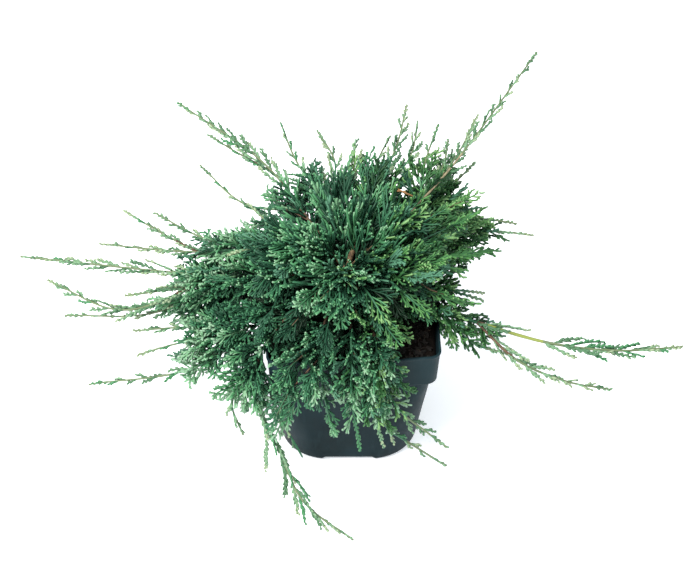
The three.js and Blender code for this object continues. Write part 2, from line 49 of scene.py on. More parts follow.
# %% [markdown]
# ## Meshes from arrays
# All shapes here are worked out with numpy in millimetres and handed to Blender in one go. Two helpers do
# that: one turns points and triangles into a piece, the other turns rows of points, such as the rings of a
# pot or a limb, into triangles that close at both ends. Adding vertices one by one in Python would give the
# same mesh far more slowly.

# %% A piece from points and triangles
def make_piece(name, points, triangles, materials, which=None):
    """A mesh object from points in millimetres and triangles; which gives each triangle's material."""
    mesh = bpy.data.meshes.new(name)
    count = len(triangles)
    mesh.vertices.add(len(points))
    mesh.vertices.foreach_set("co", (np.asarray(points) * MM).astype(np.float32).ravel())
    mesh.loops.add(3 * count)
    mesh.loops.foreach_set("vertex_index", np.asarray(triangles, np.int32).ravel())
    mesh.polygons.add(count)
    mesh.polygons.foreach_set("loop_start", np.arange(0, 3 * count, 3, dtype=np.int32))
    for material in materials:
        mesh.materials.append(material)
    if which is not None:
        mesh.polygons.foreach_set("material_index", np.asarray(which, np.int32))
    mesh.polygons.foreach_set("use_smooth", np.ones(count, bool))
    mesh.update(calc_edges=True)
    piece = bpy.data.objects.new(name, mesh)
    bpy.context.scene.collection.objects.link(piece)
    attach(piece, "root")
    return piece


def close_rows(rows):
    """Triangles for rows of points (rows, around, 3) that close on themselves, with a pole at either end.

    Point j of row i is number i * around + j. The two poles, the means of the first and last row, come last.
    The first row is the foot and the points of a row run anticlockwise seen from the last row's side.
    """
    n, around = rows.shape[:2]
    i, j = np.meshgrid(np.arange(n - 1), np.arange(around), indexing="ij")
    a, b = i * around + j, i * around + (j + 1) % around
    c, d = a + around, b + around
    wall = np.concatenate([np.stack([a, b, d], -1).reshape(-1, 3), np.stack([a, d, c], -1).reshape(-1, 3)])
    k = np.arange(around)
    foot = np.stack([(k + 1) % around, k, np.full(around, n * around)], -1)
    top = (n - 1) * around + np.stack([k, (k + 1) % around, np.full(around, around + 1)], -1)
    points = np.concatenate([rows.reshape(-1, 3), rows[:1].mean(1), rows[-1:].mean(1)])
    return points, np.concatenate([wall, foot, top])


def join(parts):
    """One mesh from a list of (points, triangles)."""
    shifts = np.cumsum([0] + [len(points) for points, _ in parts[:-1]])
    points = np.concatenate([points for points, _ in parts])
    return points, np.concatenate([triangles + shift for (_, triangles), shift in zip(parts, shifts)])


drum_rows = np.array([[[1, 0, z], [0, 1, z], [-1, 0, z], [0, -1, z]] for z in (0, 1)])
drum_points, drum_triangles = close_rows(drum_rows)
print("a four-sided drum:", len(drum_points), "points and", len(drum_triangles), "triangles")

# %% [markdown]
# ## Smooth noise
# Bark, potting mix and chips are uneven, but never spiky. Value noise gives that: random heights at the
# corners of a lattice, blended in between. Its cell is a real size in millimetres, so each surface says how
# coarse it is. The same lattice always gives the same heights, so every run makes the same plant.

# %% Value noise and small vector helpers
def noise(points, cell, seed=0):
    """Value noise from -1 to 1: a lattice's corner heights, blended by 3t^2 - 2t^3 along each axis.

    Large primes scramble a corner's place and the seed into its height.
    """
    p = np.asarray(points, float) / cell
    corner = np.floor(p).astype(np.int64)
    share = p - corner
    share = share * share * (3 - 2 * share)
    total = 0
    for step in np.ndindex(2, 2, 2):
        c = corner + step
        h = c[..., 0] * 73856093 ^ c[..., 1] * 19349663 ^ c[..., 2] * 83492791 ^ (seed * 9176 + 77)
        h = ((h ^ (h >> 13)) * 1274126177) & 0xFFFFFFFF
        height = ((h ^ (h >> 16)) & 0xFFFF) / 32767.5 - 1
        weight = np.prod(np.where(step, share, 1 - share), axis=-1)
        total = total + weight * height
    return total


def unit(v):
    """Vectors of length 1."""
    return v / (np.linalg.norm(v, axis=-1, keepdims=True) + 1e-12)


def mix(a, b, t):
    """a where t is 0 and b where it is 1, straight in between and beyond."""
    return a + (b - a) * t


def ramp(x, a, b):
    """0 at a, 1 at b, straight in between."""
    return np.clip((x - a) / (b - a), 0, 1)


print("noise sample:", np.round(noise(np.arange(12.0).reshape(4, 3), 2.5), 2))

# %% [markdown]
# ## Materials
# Paint charts and pictures give colours as sRGB, and Blender's shaders want linear light, so one function
# turns hex values. One small function adds a node with its values and its links, and every material below
# is built with it.

# %% Colour and node helpers
def colour(hex_value):
    """An sRGB hex colour as linear RGBA: c / 12.92 up to 0.04045, else ((c + 0.055) / 1.055)^2.4."""
    srgb = np.array([int(hex_value[i : i + 2], 16) / 255 for i in (1, 3, 5)])
    linear = np.where(srgb <= 0.04045, srgb / 12.92, ((srgb + 0.055) / 1.055) ** 2.4)
    return (*linear.tolist(), 1.0)


def add(tree, kind, inputs=(), stops=()):
    """Adds a node. Inputs are values or sockets to link, and stops are a ramp's positions and colours."""
    node = tree.nodes.new("ShaderNode" + kind)
    for key, value in dict(inputs).items():
        if isinstance(value, bpy.types.NodeSocket):
            tree.links.new(value, node.inputs[key])
        else:
            node.inputs[key].default_value = value
    for number, (position, tone) in enumerate(stops):
        node.color_ramp.elements[number].position = position
        node.color_ramp.elements[number].color = colour(tone)
    return node


def new_material(name, inputs):
    """A material with the standard shader and the given values, and its node tree and shader."""
    material = bpy.data.materials.new(name)
    material.use_nodes = True
    shader = material.node_tree.nodes["Principled BSDF"]
    for key, value in inputs.items():
        shader.inputs[key].default_value = value
    return material, material.node_tree, shader


print("linear mid grey:", round(colour("#808080")[0], 3))

# %% [markdown]
# ## Camera, light and floor
# The photograph looks down on the plant by 40 degrees from 1.24 m away, through a lens that makes one
# millimetre at the pot about one pixel. The plant was cut out on white: the light is soft and nearly even,
# a little stronger from above and the front left, and the floor is almost as bright as the background, with
# a faint cool shadow at the pot's foot. A bright world does most of it, and one large area lamp gives the
# light its direction.

# %% Camera
PHOTO_WIDTH = 700
FOCAL_PIXELS = 1150
LOOKS_DOWN = 40
camera_data = bpy.data.cameras.new("camera")
camera_data.sensor_width = 36
camera_data.lens = FOCAL_PIXELS * camera_data.sensor_width / PHOTO_WIDTH
camera = bpy.data.objects.new("camera", camera_data)
camera.location = (0, -0.855, 0.893)
camera.rotation_euler = (math.radians(90 - LOOKS_DOWN), 0, 0)
bpy.context.scene.collection.objects.link(camera)
bpy.context.scene.camera = camera
print("camera lens:", round(camera_data.lens, 2), "mm")

# %% World, lamp and floor
world = bpy.data.worlds.new("studio")
world.use_nodes = True
world.node_tree.nodes["Background"].inputs["Color"].default_value = colour("#fbfdff")
world.node_tree.nodes["Background"].inputs["Strength"].default_value = 1.03
bpy.context.scene.world = world
bpy.context.scene.view_settings.view_transform = "Standard"


def add_lamp(name, place, target, size, power, tone):
    """A square area lamp at a place, turned to a target, both in metres."""
    lamp = bpy.data.lights.new(name, "AREA")
    lamp.size = size
    lamp.energy = power
    lamp.color = colour(tone)[:3]
    holder = bpy.data.objects.new(name, lamp)
    holder.location = place
    to_target = unit(np.array(target, float) - np.array(place, float))
    pitch = math.acos(-to_target[2])
    holder.rotation_euler = (pitch, 0, math.atan2(-to_target[0], to_target[1]))
    bpy.context.scene.collection.objects.link(holder)


add_lamp("softbox", (-0.9, -0.9, 1.9), (0, 0, 0.15), 0.8, 88, "#fffaf2")

STAGE_HALF = 3.0
STAGE_LEVEL = -0.0002
floor_material, _, _ = new_material("lit_white_floor", {
    "Base Color": colour("#f6f8fb"),
    "Roughness": 0.6,
    "Emission Color": colour("#f4faff"),
    "Emission Strength": 0.45,
})
corners = [(STAGE_HALF * x, STAGE_HALF * y, STAGE_LEVEL) for x, y in ((-1, -1), (1, -1), (1, 1), (-1, 1))]
floor_mesh = bpy.data.meshes.new("floor")
floor_mesh.from_pydata(corners, [], [(0, 1, 2, 3)])
floor_mesh.materials.append(floor_material)
floor = bpy.data.objects.new("floor", floor_mesh)
bpy.context.scene.collection.objects.link(floor)
print("floor:", 2 * STAGE_HALF, "m across")

# %% [markdown]
# ## The pot's form
# A 3 litre nursery pot is blow-thin moulded plastic. Its plan is a rounded square whose corners get tighter
# towards the band, its sides lean out, and a deep band stands out under the rim. Potting mix and roots push
# the sides out a little at the top, and the thin wall is squashed and twisted: the base is less turned than
# the rim and a few millimetres off its middle. It could be a cube with bevels, but its corner radius
# changes with height, so a formula for the outline at each height follows it better: profile points give
# the half width across the flats, and the rounded square's reach turns each of them into a ring.

# %% The rounded square
WALL = 1.8
GAP = 0.3
POT_HEIGHT = 150
RIM_HALF = 82
RIM_CORNER = 11
RIM_BOW = 6
BAND_HEIGHT = 37
BAND_FOOT = POT_HEIGHT - BAND_HEIGHT
BAND_STEP = 4.5
BAND_LEAN = 2
BASE_HALF = 70
BASE_ROUND = 4
BASE_THICK = 5.5
BASE_CORNER = 48
BASE_SHIFT = np.array([-1.5, -3.5])
POT_YAW = math.radians(3)
BASE_YAW = 0.0
CORNER_CROWDING = 0.75
SHARPEST_CORNER = 2


def outer_half(z):
    """The pot's half width outside at a height: two straight flights, and the round at the foot."""
    band = mix(RIM_HALF - BAND_LEAN, RIM_HALF, ramp(z, BAND_FOOT, POT_HEIGHT))
    body = mix(BASE_HALF, RIM_HALF - BAND_STEP - BAND_LEAN, ramp(z, 0, BAND_FOOT))
    return np.where(z >= BAND_FOOT, band, body - BASE_ROUND * (1 - ramp(z, 0, BASE_ROUND)) ** 2)


def square_reach(half, corner, bow, angle):
    """How far a rounded square's edge is from its middle at an angle.

    On a flat it is half / cos(angle). On a corner's arc, with q = half - corner, it is q (cos + sin) plus the
    root of q^2 ((cos + sin)^2 - 2) + corner^2. A bow swells it by bow / half times cos(2 angle)^2.
    """
    c, s = np.abs(np.cos(angle)), np.abs(np.sin(angle))
    c, s = np.maximum(c, s), np.minimum(c, s)
    q = half - corner
    arc = q * (c + s) + np.sqrt(np.maximum(q * q * ((c + s) ** 2 - 2) + corner * corner, 0))
    reach = np.where(half * s / c <= q, half / c, arc)
    return reach * (1 + bow / half * np.cos(2 * angle) ** 2)


def corner_at(z):
    """The corner's radius at a height: wide at the base, tight from the band's foot up."""
    return mix(BASE_CORNER, RIM_CORNER, ramp(z, 0, BAND_FOOT))


def bow_at(z):
    """How far the flats bow out at a height: none at the foot, most at the rim."""
    return RIM_BOW * ramp(z, 0, POT_HEIGHT) ** 1.5


def shift_at(z):
    """How much of the base's shift is left at a height, all of it at the foot and none at the band."""
    return 1 - ramp(z, 0, BAND_FOOT)


def yaw_at(z):
    """The outline's turn at a height, from the base's to the rim's."""
    return mix(POT_YAW, BASE_YAW, shift_at(z))


def square_rings(profile, around, inset=0.0):
    """Rings (points, around, 3) for a profile of (half width, height), with points crowded at the corners.

    A ring further in has a corner that is tighter by as much, up to the wall and its gap.
    """
    half, z = (np.asarray(profile, float)[:, k, None] for k in (0, 1))
    turn = np.arange(around) * 2 * np.pi / around
    angle = turn + CORNER_CROWDING / 4 * np.sin(4 * turn)
    lost = np.maximum(inset, np.minimum(outer_half(z) - half, WALL + GAP))
    corner = np.minimum(np.maximum(SHARPEST_CORNER, corner_at(z) - lost), half * 0.9)
    reach = square_reach(half, corner, bow_at(z), angle[None])
    turned = angle + yaw_at(z)
    x = reach * np.cos(turned) + BASE_SHIFT[0] * shift_at(z)
    y = reach * np.sin(turned) + BASE_SHIFT[1] * shift_at(z)
    return np.stack([x, y, np.broadcast_to(z, reach.shape)], -1)


def rounded(corners, steps=4):
    """A profile whose corners (half, height, radius) are rounded: p + r (1 - t)^2 back + r t^2 on.

    Back and on are the ways to the corner before and the one after, and t goes from 0 to 1.
    """
    points = [corners[0][:2]]
    for before, (x, z, radius), after in zip(corners, corners[1:-1], corners[2:]):
        p = np.array([x, z])
        back, on = unit(np.array(before[:2]) - p), unit(np.array(after[:2]) - p)
        for t in np.linspace(0, 1, steps):
            points.append(tuple(p + radius * ((1 - t) ** 2 * back + t * t * on)))
    return points + [corners[-1][:2]]


def stepped(profile, longest):
    """The same profile with points added so that no stretch is longer than a limit."""
    points = [profile[0]]
    for a, b in zip(profile, profile[1:]):
        cuts = max(1, math.ceil(math.dist(a, b) / longest))
        points += [tuple(mix(np.array(a), np.array(b), k / cuts)) for k in range(1, cuts + 1)]
    return points


half_widths = [float(outer_half(z)) for z in (BASE_ROUND, BAND_FOOT, POT_HEIGHT)]
print("half width over the foot's round, at the band and at the rim:", half_widths)

# %% The pot's surface
floor_half = float(outer_half(BASE_THICK)) - WALL - 2
inner_foot = float(outer_half(BAND_FOOT - 1)) - WALL
pot_outside = stepped(rounded([
    (3, 0, 0),
    (BASE_HALF - BASE_ROUND, 0, 1.2),
    (BASE_HALF - 1.2, 1.6, 1.0),
    (float(outer_half(5)), 5, 1.5),
    (float(outer_half(BAND_FOOT - 2)), BAND_FOOT - 2, 1.6),
    (RIM_HALF - BAND_LEAN, BAND_FOOT - 0.6, 0.8),
    (RIM_HALF - BAND_LEAN, BAND_FOOT + 1.2, 0.5),
    (RIM_HALF - 0.5, POT_HEIGHT - 3.2, 0.8),
    (RIM_HALF + 0.3, POT_HEIGHT - 2.2, 0.5),
    (RIM_HALF + 0.3, POT_HEIGHT, 0.8),
    (RIM_HALF - WALL, POT_HEIGHT, 0.8),
    (RIM_HALF - WALL - 0.4, POT_HEIGHT - 4, 0),
]), 6)
pot_inside = stepped(rounded([
    (RIM_HALF - WALL - 0.4, POT_HEIGHT - 4.2, 0),
    (float(outer_half(BAND_FOOT + 2.2)) - WALL, BAND_FOOT + 2.2, 1.0),
    (inner_foot, BAND_FOOT + 0.6, 1.0),
    (floor_half + 2, BASE_THICK + 3, 1.5),
    (floor_half, BASE_THICK, 1.0),
    (3, BASE_THICK, 0),
], 3), 12)
AROUND = 192
rings = np.concatenate([square_rings(pot_outside, AROUND), square_rings(pot_inside, AROUND, WALL)])
print("pot rings:", len(pot_outside), "outside and", len(pot_inside), "inside")

# %% The drainage channels
# Under the pot, four wedges that widen outwards are lifted, fading out a few millimetres up the wall.
CHANNEL_START = 14
CHANNEL_HALF = (8, 28)
CHANNEL_DEPTH = 3.5
CHANNEL_TOP = 9
turn_back = np.array([[math.cos(BASE_YAW), -math.sin(BASE_YAW)], [math.sin(BASE_YAW), math.cos(BASE_YAW)]])
flat = (rings[..., :2] - BASE_SHIFT * shift_at(rings[..., 2:])) @ turn_back
lengthwise = np.abs(flat).max(-1)
crosswise = np.abs(flat).min(-1)
half_channel = mix(*CHANNEL_HALF, ramp(lengthwise, CHANNEL_START, BASE_HALF + 5))
past_start = ramp(lengthwise, CHANNEL_START - 1, CHANNEL_START + 2)
in_channel = ramp(half_channel - crosswise, -1.2, 1.2) * past_start
is_outside = np.arange(len(rings)) < len(pot_outside)
lifted = CHANNEL_DEPTH * in_channel * np.clip(1 - rings[..., 2] / CHANNEL_TOP, 0, 1)
rings[..., 2] += lifted * is_outside[:, None]
pot_points, pot_triangles = close_rows(rings)
print("pot triangles:", len(pot_triangles))

# %% [markdown]
# ## The pot's finish
# The plastic is recycled polypropylene, moulded against sandblasted steel: near black, faintly blue where
# it is lit, with a satin sheen that breaks up over a fine grain. Painted light makes its base colour a
# little paler towards the band, and dried splashes and dust leave soft grey veils. The base colour drifts
# between two near blacks, the veils come from a noise that is stretched upwards, and the grain is a bump
# with a real depth. A real grain is finer than this, but it wouldn't show.

# %% Moulded polypropylene
DRIFT_SIZE = 0.045
VEIL_SIZE = 0.012
GRAIN_SIZE = 0.0009
SINK_SIZE = 0.03
pot_plastic, tree, shader = new_material("moulded_polypropylene", {
    "IOR": 1.49,
    "Roughness": 0.55,
    "Specular IOR Level": 0.08,
})
place = add(tree, "TexCoord").outputs["Object"]
drift = add(tree, "TexNoise", {"Vector": place, "Scale": 1 / DRIFT_SIZE, "Detail": 3.0, "Roughness": 0.55})
plastic = add(tree, "ValToRGB", {"Fac": drift.outputs["Fac"]}, [(0.35, "#0b1b1f"), (0.7, "#11242a")])
height = add(tree, "SeparateXYZ", {"Vector": place})
# Painted light: from 50 mm up to 125 mm the base colour grows paler, at most three tenths of the way to a
# pale blue-grey, as if the band were lit more than the body.
band_painted_light = add(tree, "MapRange", {
    "Value": height.outputs["Z"], "From Min": 0.05, "From Max": 0.125, "To Min": 0.0, "To Max": 0.3,
})
plastic_with_band_light = add(tree, "MixRGB", {
    "Fac": band_painted_light.outputs["Result"], "Color1": plastic.outputs["Color"], "Color2": colour("#24393f"),
})
stretch = add(tree, "Mapping", {"Vector": place, "Scale": (1.0, 1.0, 0.25)})
veil = add(tree, "TexNoise", {
    "Vector": stretch.outputs["Vector"], "Scale": 1 / VEIL_SIZE, "Detail": 5.0, "Roughness": 0.62,
})
veil_share = add(tree, "MapRange", {
    "Value": veil.outputs["Fac"], "From Min": 0.56, "From Max": 0.85, "To Max": 0.16,
})
dusty = add(tree, "MixRGB", {
    "Fac": veil_share.outputs["Result"], "Color1": plastic_with_band_light.outputs["Color"], "Color2": colour("#566a70"),
})
gloss = add(tree, "MapRange", {
    "Value": veil.outputs["Fac"], "From Min": 0.3, "From Max": 0.8, "To Min": 0.4, "To Max": 0.66,
})
grain = add(tree, "TexNoise", {"Vector": place, "Scale": 1 / GRAIN_SIZE, "Detail": 2.0})
sink = add(tree, "TexNoise", {"Vector": place, "Scale": 1 / SINK_SIZE, "Detail": 1.0})
grain_bump = add(tree, "Bump", {"Height": grain.outputs["Fac"], "Strength": 0.5, "Distance": 0.00012})
sink_bump = add(tree, "Bump", {
    "Height": sink.outputs["Fac"],
    "Strength": 0.6,
    "Distance": 0.0012,
    "Normal": grain_bump.outputs["Normal"],
})
tree.links.new(dusty.outputs["Color"], shader.inputs["Base Color"])
tree.links.new(gloss.outputs["Result"], shader.inputs["Roughness"])
tree.links.new(sink_bump.outputs["Normal"], shader.inputs["Normal"])
print("pot plastic:", len(tree.nodes), "nodes")

# %% Cut the drain holes and place the pot
HOLE_AWAY = 38
HOLE_RADIUS = 5
pot = make_piece("nursery_pot", pot_points, pot_triangles, [pot_plastic])
a = np.arange(24) * 2 * np.pi / 24
circle = HOLE_RADIUS * np.stack([np.cos(a), np.sin(a), 0 * a], -1)
drill_parts = []
for quarter in range(4):
    spoke = BASE_YAW + quarter * math.pi / 2
    hole = circle + [*(HOLE_AWAY * np.array([math.cos(spoke), math.sin(spoke)]) + BASE_SHIFT), 0]
    drill_parts.append(close_rows(np.stack([hole + [0, 0, z] for z in (-5, 0, 6, 12)])))
drill = make_piece("drill", *join(drill_parts), [pot_plastic])
cut = pot.modifiers.new("drain_holes", "BOOLEAN")
cut.object = drill
cut.solver = "EXACT"
bpy.context.view_layer.update()
cut_mesh = bpy.data.meshes.new_from_object(pot.evaluated_get(bpy.context.evaluated_depsgraph_get()))
pot.modifiers.clear()
pot.data = cut_mesh
bpy.data.objects.remove(drill)
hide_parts("pot")
print("pot after the holes:", len(pot.data.polygons), "faces")

# %% [markdown]
# ## The potting mix
# Nursery mix is dark peat with shreds of bark. Its top sinks a little towards the wall and is crumbly at
# every size. The surface is a polar sheet whose height is three sizes of noise. Loose chips and fibres lie
# on it: each chip is a squashed block with its corners pushed about, a few dozen faces at most, and all of
# them are one joined mesh.

# %% Peat
SOIL_TOP = 138
SOIL_EDGE = 135
SOIL_SINK = 2.2


def swells(points):
    """The peat's broadest unevenness, in millimetres: noise with cells of 9 mm."""
    return 1.3 * noise(points, 9, 1)


soil_profile = [
    (3, BASE_THICK + GAP),
    (floor_half - GAP, BASE_THICK + GAP),
    (floor_half + 2 - GAP, BASE_THICK + 3),
    (inner_foot - 0.5, BAND_FOOT + 0.6 + GAP),
    (float(outer_half(BAND_FOOT + 2.5)) - WALL - 0.5, BAND_FOOT + 2.5),
    (float(outer_half(SOIL_EDGE)) - WALL - 0.5, SOIL_EDGE - 1),
]
soil_half = soil_profile[-1][0]
inwards = np.arange(0, soil_half - 7, 1.6)
top_profile = [(soil_half - 3 - d, SOIL_TOP - SOIL_SINK * math.exp(-d / 5)) for d in inwards]
soil_rows = square_rings(stepped(soil_profile, 14) + top_profile, 256, WALL + GAP)
on_top = np.arange(len(soil_rows)) >= len(soil_rows) - len(top_profile)
crumbs = swells(soil_rows) + 1.1 * noise(soil_rows, 3.6, 2) + 0.6 * noise(soil_rows, 1.7, 3)
soil_rows[..., 2] += crumbs * on_top[:, None]
print("soil rows:", soil_rows.shape)

# %% The peat's finish
CLOD_SIZE = 0.006
FIBRE_SIZE = 0.0012
peat, tree, shader = new_material("peat_mix", {"Roughness": 0.95, "IOR": 1.4, "Specular IOR Level": 0.25})
place = add(tree, "TexCoord").outputs["Object"]
clods = add(tree, "TexNoise", {"Vector": place, "Scale": 1 / CLOD_SIZE, "Detail": 6.0, "Roughness": 0.7})
earth = add(tree, "ValToRGB", {"Fac": clods.outputs["Fac"]}, [(0.36, "#070605"), (0.72, "#1c1511")])
fine = add(tree, "TexNoise", {"Vector": place, "Scale": 1 / FIBRE_SIZE, "Detail": 4.0})
bump = add(tree, "Bump", {"Height": fine.outputs["Fac"], "Strength": 0.9, "Distance": 0.0008})
tree.links.new(earth.outputs["Color"], shader.inputs["Base Color"])
tree.links.new(bump.outputs["Normal"], shader.inputs["Normal"])
soil = make_piece("potting_soil", *close_rows(soil_rows), [peat])
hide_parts("potting_mix")
print("potting mix:", len(soil.data.polygons), "triangles")

# %% Bark chips and fibres
rng = np.random.default_rng(7)


def turned_axes(count, tilt):
    """Three unit axes for each of a number of flat bits: any heading, tipped from level by up to a tilt."""
    heading = rng.uniform(0, 2 * np.pi, count)
    along = np.stack([np.cos(heading), np.sin(heading), rng.uniform(-tilt, tilt, count)], -1)
    along = unit(along)
    up = unit(np.stack([rng.normal(0, tilt, count), rng.normal(0, tilt, count), np.ones(count)], -1))
    side = unit(np.cross(up, along))
    return along, side, np.cross(along, side)


def chip_mesh(count, long, wide, thick, tilt):
    """Squashed blocks on the peat: two rings of six points, each pushed in or out by up to a third."""
    middle = rng.uniform(-1, 1, (count, 2)) * (RIM_HALF - 6)
    wall = square_reach(RIM_HALF - 7, 8.0, RIM_BOW, np.arctan2(middle[:, 1], middle[:, 0]) - POT_YAW)
    middle = middle[np.hypot(*middle.T) < wall]
    count = len(middle)
    lowest = swells(np.c_[middle, np.full(count, SOIL_TOP)]) + SOIL_TOP + 0.4
    along, side, up = turned_axes(count, tilt)
    sizes = rng.uniform(0.5, 1, (count, 3)) * (long, wide, thick) / 2
    turn = np.arange(6) * np.pi / 3
    rough = rng.uniform(0.66, 1.2, (count, 2, 6, 1))
    lengthways = np.cos(turn)[:, None] * (along * sizes[:, :1])[:, None]
    sideways = np.sin(turn)[:, None] * (side * sizes[:, 1:2])[:, None]
    level = np.array([-1, 1])[None, :, None, None] * (up * sizes[:, 2:])[:, None, None]
    points = np.c_[middle, lowest][:, None, None] + (lengthways + sideways)[:, None] * rough + level
    one = np.array(
        [[0, j, j + 1] for j in range(1, 5)]
        + [[6, 6 + j + 1, 6 + j] for j in range(1, 5)]
        + [[j, 6 + (j + 1) % 6, (j + 1) % 6] for j in range(6)]
        + [[j, 6 + j, 6 + (j + 1) % 6] for j in range(6)]
    )[:, ::-1]
    triangles = one[None] + 12 * np.arange(count)[:, None, None]
    return points.reshape(-1, 3), triangles.reshape(-1, 3)


chip_colours = [("bark_chip_dark", "#0f0b09"), ("bark_chip_red", "#1f1510"), ("bark_chip_tan", "#362a20")]
chip_materials = [
    new_material(name, {"Base Color": colour(tone), "Roughness": 0.85})[0] for name, tone in chip_colours
]
chips = [chip_mesh(900, 9, 4, 1.8, 0.35), chip_mesh(520, 8, 3, 1.4, 0.45), chip_mesh(160, 11, 1.1, 0.9, 0.3)]
chip_kind = np.repeat([0, 1, 2], [len(triangles) for _, triangles in chips])
bark_chips = make_piece("bark_chips", *join(chips), chip_materials, chip_kind)
bark_chips.data.polygons.foreach_set("use_smooth", np.zeros(len(chip_kind), bool))
print("bark chips:", len(chip_kind), "triangles")

# %% [markdown]
# ## Where the limbs run
# The same named stations that shaped the CAD solids give the limbs here: each mass has a bough from the
# trunk, whose line carries on as the mass's first whip, and the other whips fork from that one. A
# centripetal Catmull-Rom curve passes through its stations without loops or overshoot, where a plain one
# swings wide after a short stretch. Stations are azimuth, reach and height.

# %% The masses of foliage
MASSES = [
    ("left_upper", 173, (160, 54, 198), (0.62, 0.4), [
        [(170, 166, 191), (172, 249, 196)],
        [(166, 195, 202), (163, 236, 212)],
        [(168, 144, 206), (163, 202, 216)],
    ]),
    ("left", 165, (180, 56, 182), (0.4, 0.34, 0.37), [
        [(176, 161, 178), (176, 323, 190)],
        [(190, 216, 173), (179, 295, 174)],
        [(187, 190, 157), (184, 278, 150)],
        [(181.5, 180, 170), (183.6, 218, 170)],
    ]),
    ("left_lower", 158, (200, 58, 168), (0.4, 0.36), [
        [(201, 158, 117), (193, 262, 95)],
        [(196, 170, 139), (194, 211, 127)],
        [(193, 168, 151), (191, 212, 149)],
    ]),
    ("front_left", 181, (217, 60, 178), (0.3, 0.36), [
        [(219, 118, 131), (225, 120, 77), (236, 124, 51), (254, 159, 32), (271, 188, 20)],
        [(219, 144, 107), (225, 145, 70)],
        [(230, 108, 80), (246, 114, 40)],
    ]),
    ("front", 165, (246, 52, 176), (0.35,), [
        [(252, 92, 160), (257, 106, 126), (262, 110, 74)],
        [(241, 112, 134), (238, 114, 88)],
    ]),
    ("front_middle", 172, (270, 52, 180), (0.42,), [
        [(271, 92, 160), (271, 106, 122), (275, 116, 62)],
        [(279, 110, 124), (286, 118, 64)],
    ]),
    ("front_right", 160, (290, 50, 172), (0.3, 0.28), [
        [(286, 92, 160), (284, 110, 124), (288, 112, 86), (299, 118, 60), (310, 146, 36)],
        [(291, 112, 118), (305, 129, 77), (309, 148, 66)],
        [(295, 110, 134), (303, 114, 120)],
    ]),
    ("right_lower", 169, (334, 54, 176), (0.4, 0.28), [
        [(341.5, 195, 154), (344.5, 258, 150), (348.5, 320, 150)],
        [(333.6, 174, 146), (337.2, 220, 126), (342.5, 262, 108)],
        [(332, 132, 153), (337, 168, 141)],
    ]),
    ("right", 152, (358, 56, 172), (0.5,), [
        [(356, 104, 172), (1, 132, 160)],
        [(350, 104, 178), (351, 130, 170)],
    ]),
    ("right_upper", 174, (28, 56, 194), (0.5,), [
        [(27, 155, 184), (20, 198, 181)],
        [(35, 161, 183), (26, 190, 184)],
    ]),
    ("right_back", 164, (52, 56, 178), (0.5,), [
        [(54, 150, 160), (52, 212, 130)],
        [(64, 156, 152), (67, 220, 118)],
    ]),
    ("back", 156, (84, 56, 172), (0.5,), [
        [(86, 158, 156), (84, 240, 114)],
        [(93, 160, 148), (97, 222, 106)],
    ]),
    ("back_left", 166, (114, 56, 178), (0.5,), [
        [(114, 150, 162), (112, 212, 126)],
        [(124, 150, 152), (128, 202, 114)],
    ]),
    ("left_back", 154, (144, 56, 172), (0.5,), [
        [(147, 140, 160), (149, 188, 138)],
        [(155, 144, 150), (158, 186, 126)],
    ]),
    ("upper_left", 179, (128, 52, 206), (0.5, 0.3), [
        [(127, 143, 236), (133, 266, 260)],
        [(130, 180, 234), (132, 221, 239)],
        [(144, 129, 214), (141, 198, 228)],
    ]),
    ("upper_right", 182, (44, 46, 214), (0.45,), [
        [(44, 136, 218), (46, 186, 226)],
        [(35, 138, 204), (34, 156, 202)],
    ]),
    ("crown_whip", 188, (14, 30, 222), (0.3, 0.36, 0.33), [
        [(31, 101, 260), (47, 283, 312)],
        [(54, 130, 250), (58, 170, 265)],
        [(47, 163, 250), (49, 198, 273)],
        [(45.8, 134, 250), (52, 161, 258)],
    ]),
    ("crown_back", 192, (70, 32, 222), (0.36, 0.3), [
        [(71, 150, 244), (72, 191, 265)],
        [(64, 141, 238), (67, 179, 256)],
        [(77, 131, 234), (75, 162, 243)],
    ]),
    ("crown_back_left", 186, (106, 34, 218), (0.36, 0.26), [
        [(113, 144, 230), (113, 186, 250)],
        [(97, 132, 230), (102, 166, 246)],
        [(88, 112, 225), (85, 141, 237)],
    ]),
    ("crown_left", 190, (176, 28, 216), (0.3, 0.25), [
        [(184, 86, 224), (188, 116, 222)],
        [(204, 78, 216), (212, 106, 206)],
        [(162, 82, 230), (156, 108, 238)],
    ]),
    ("crown_front", 179, (256, 26, 214), (0.3, 0.25), [
        [(262, 66, 214), (266, 92, 198)],
        [(238, 66, 212), (234, 94, 198)],
        [(286, 62, 212), (292, 90, 196)],
    ]),
    ("crown_right", 185, (326, 28, 214), (0.3, 0.25), [
        [(338, 80, 222), (342, 112, 216)],
        [(310, 74, 212), (314, 104, 200)],
        [(2, 84, 228), (10, 114, 226)],
    ]),
]
print("masses:", len(MASSES), "with", sum(len(whips) for *_, whips in MASSES), "whips")

# %% [markdown]
# ## How each whip is dressed
# The whips aren't alike. Some are crowded with foliage far out from the crown, some run out of it bare, and
# some carry long side shoots. A separate model of each would be long and hard to change, so one rule grows
# them all, and seven small tables say what differs, by mass or by one whip of a mass. A whip that isn't in
# a table is as usual.

# %% What differs from whip to whip
# How far from the pot's middle the dense foliage goes on, in millimetres.
FULL = {
    "left": 130, ("left", 0): 148, ("left_lower", 0): 165, "left_upper": 136, "upper_left": 100,
    ("upper_left", 2): 74, "right_lower": 140, ("right_lower", 0): 126, "upper_right": 132,
    ("upper_right", 1): 178, "right_upper": 166, "front": 130, "front_middle": 130, "front_left": 126,
    "front_right": 116,
}
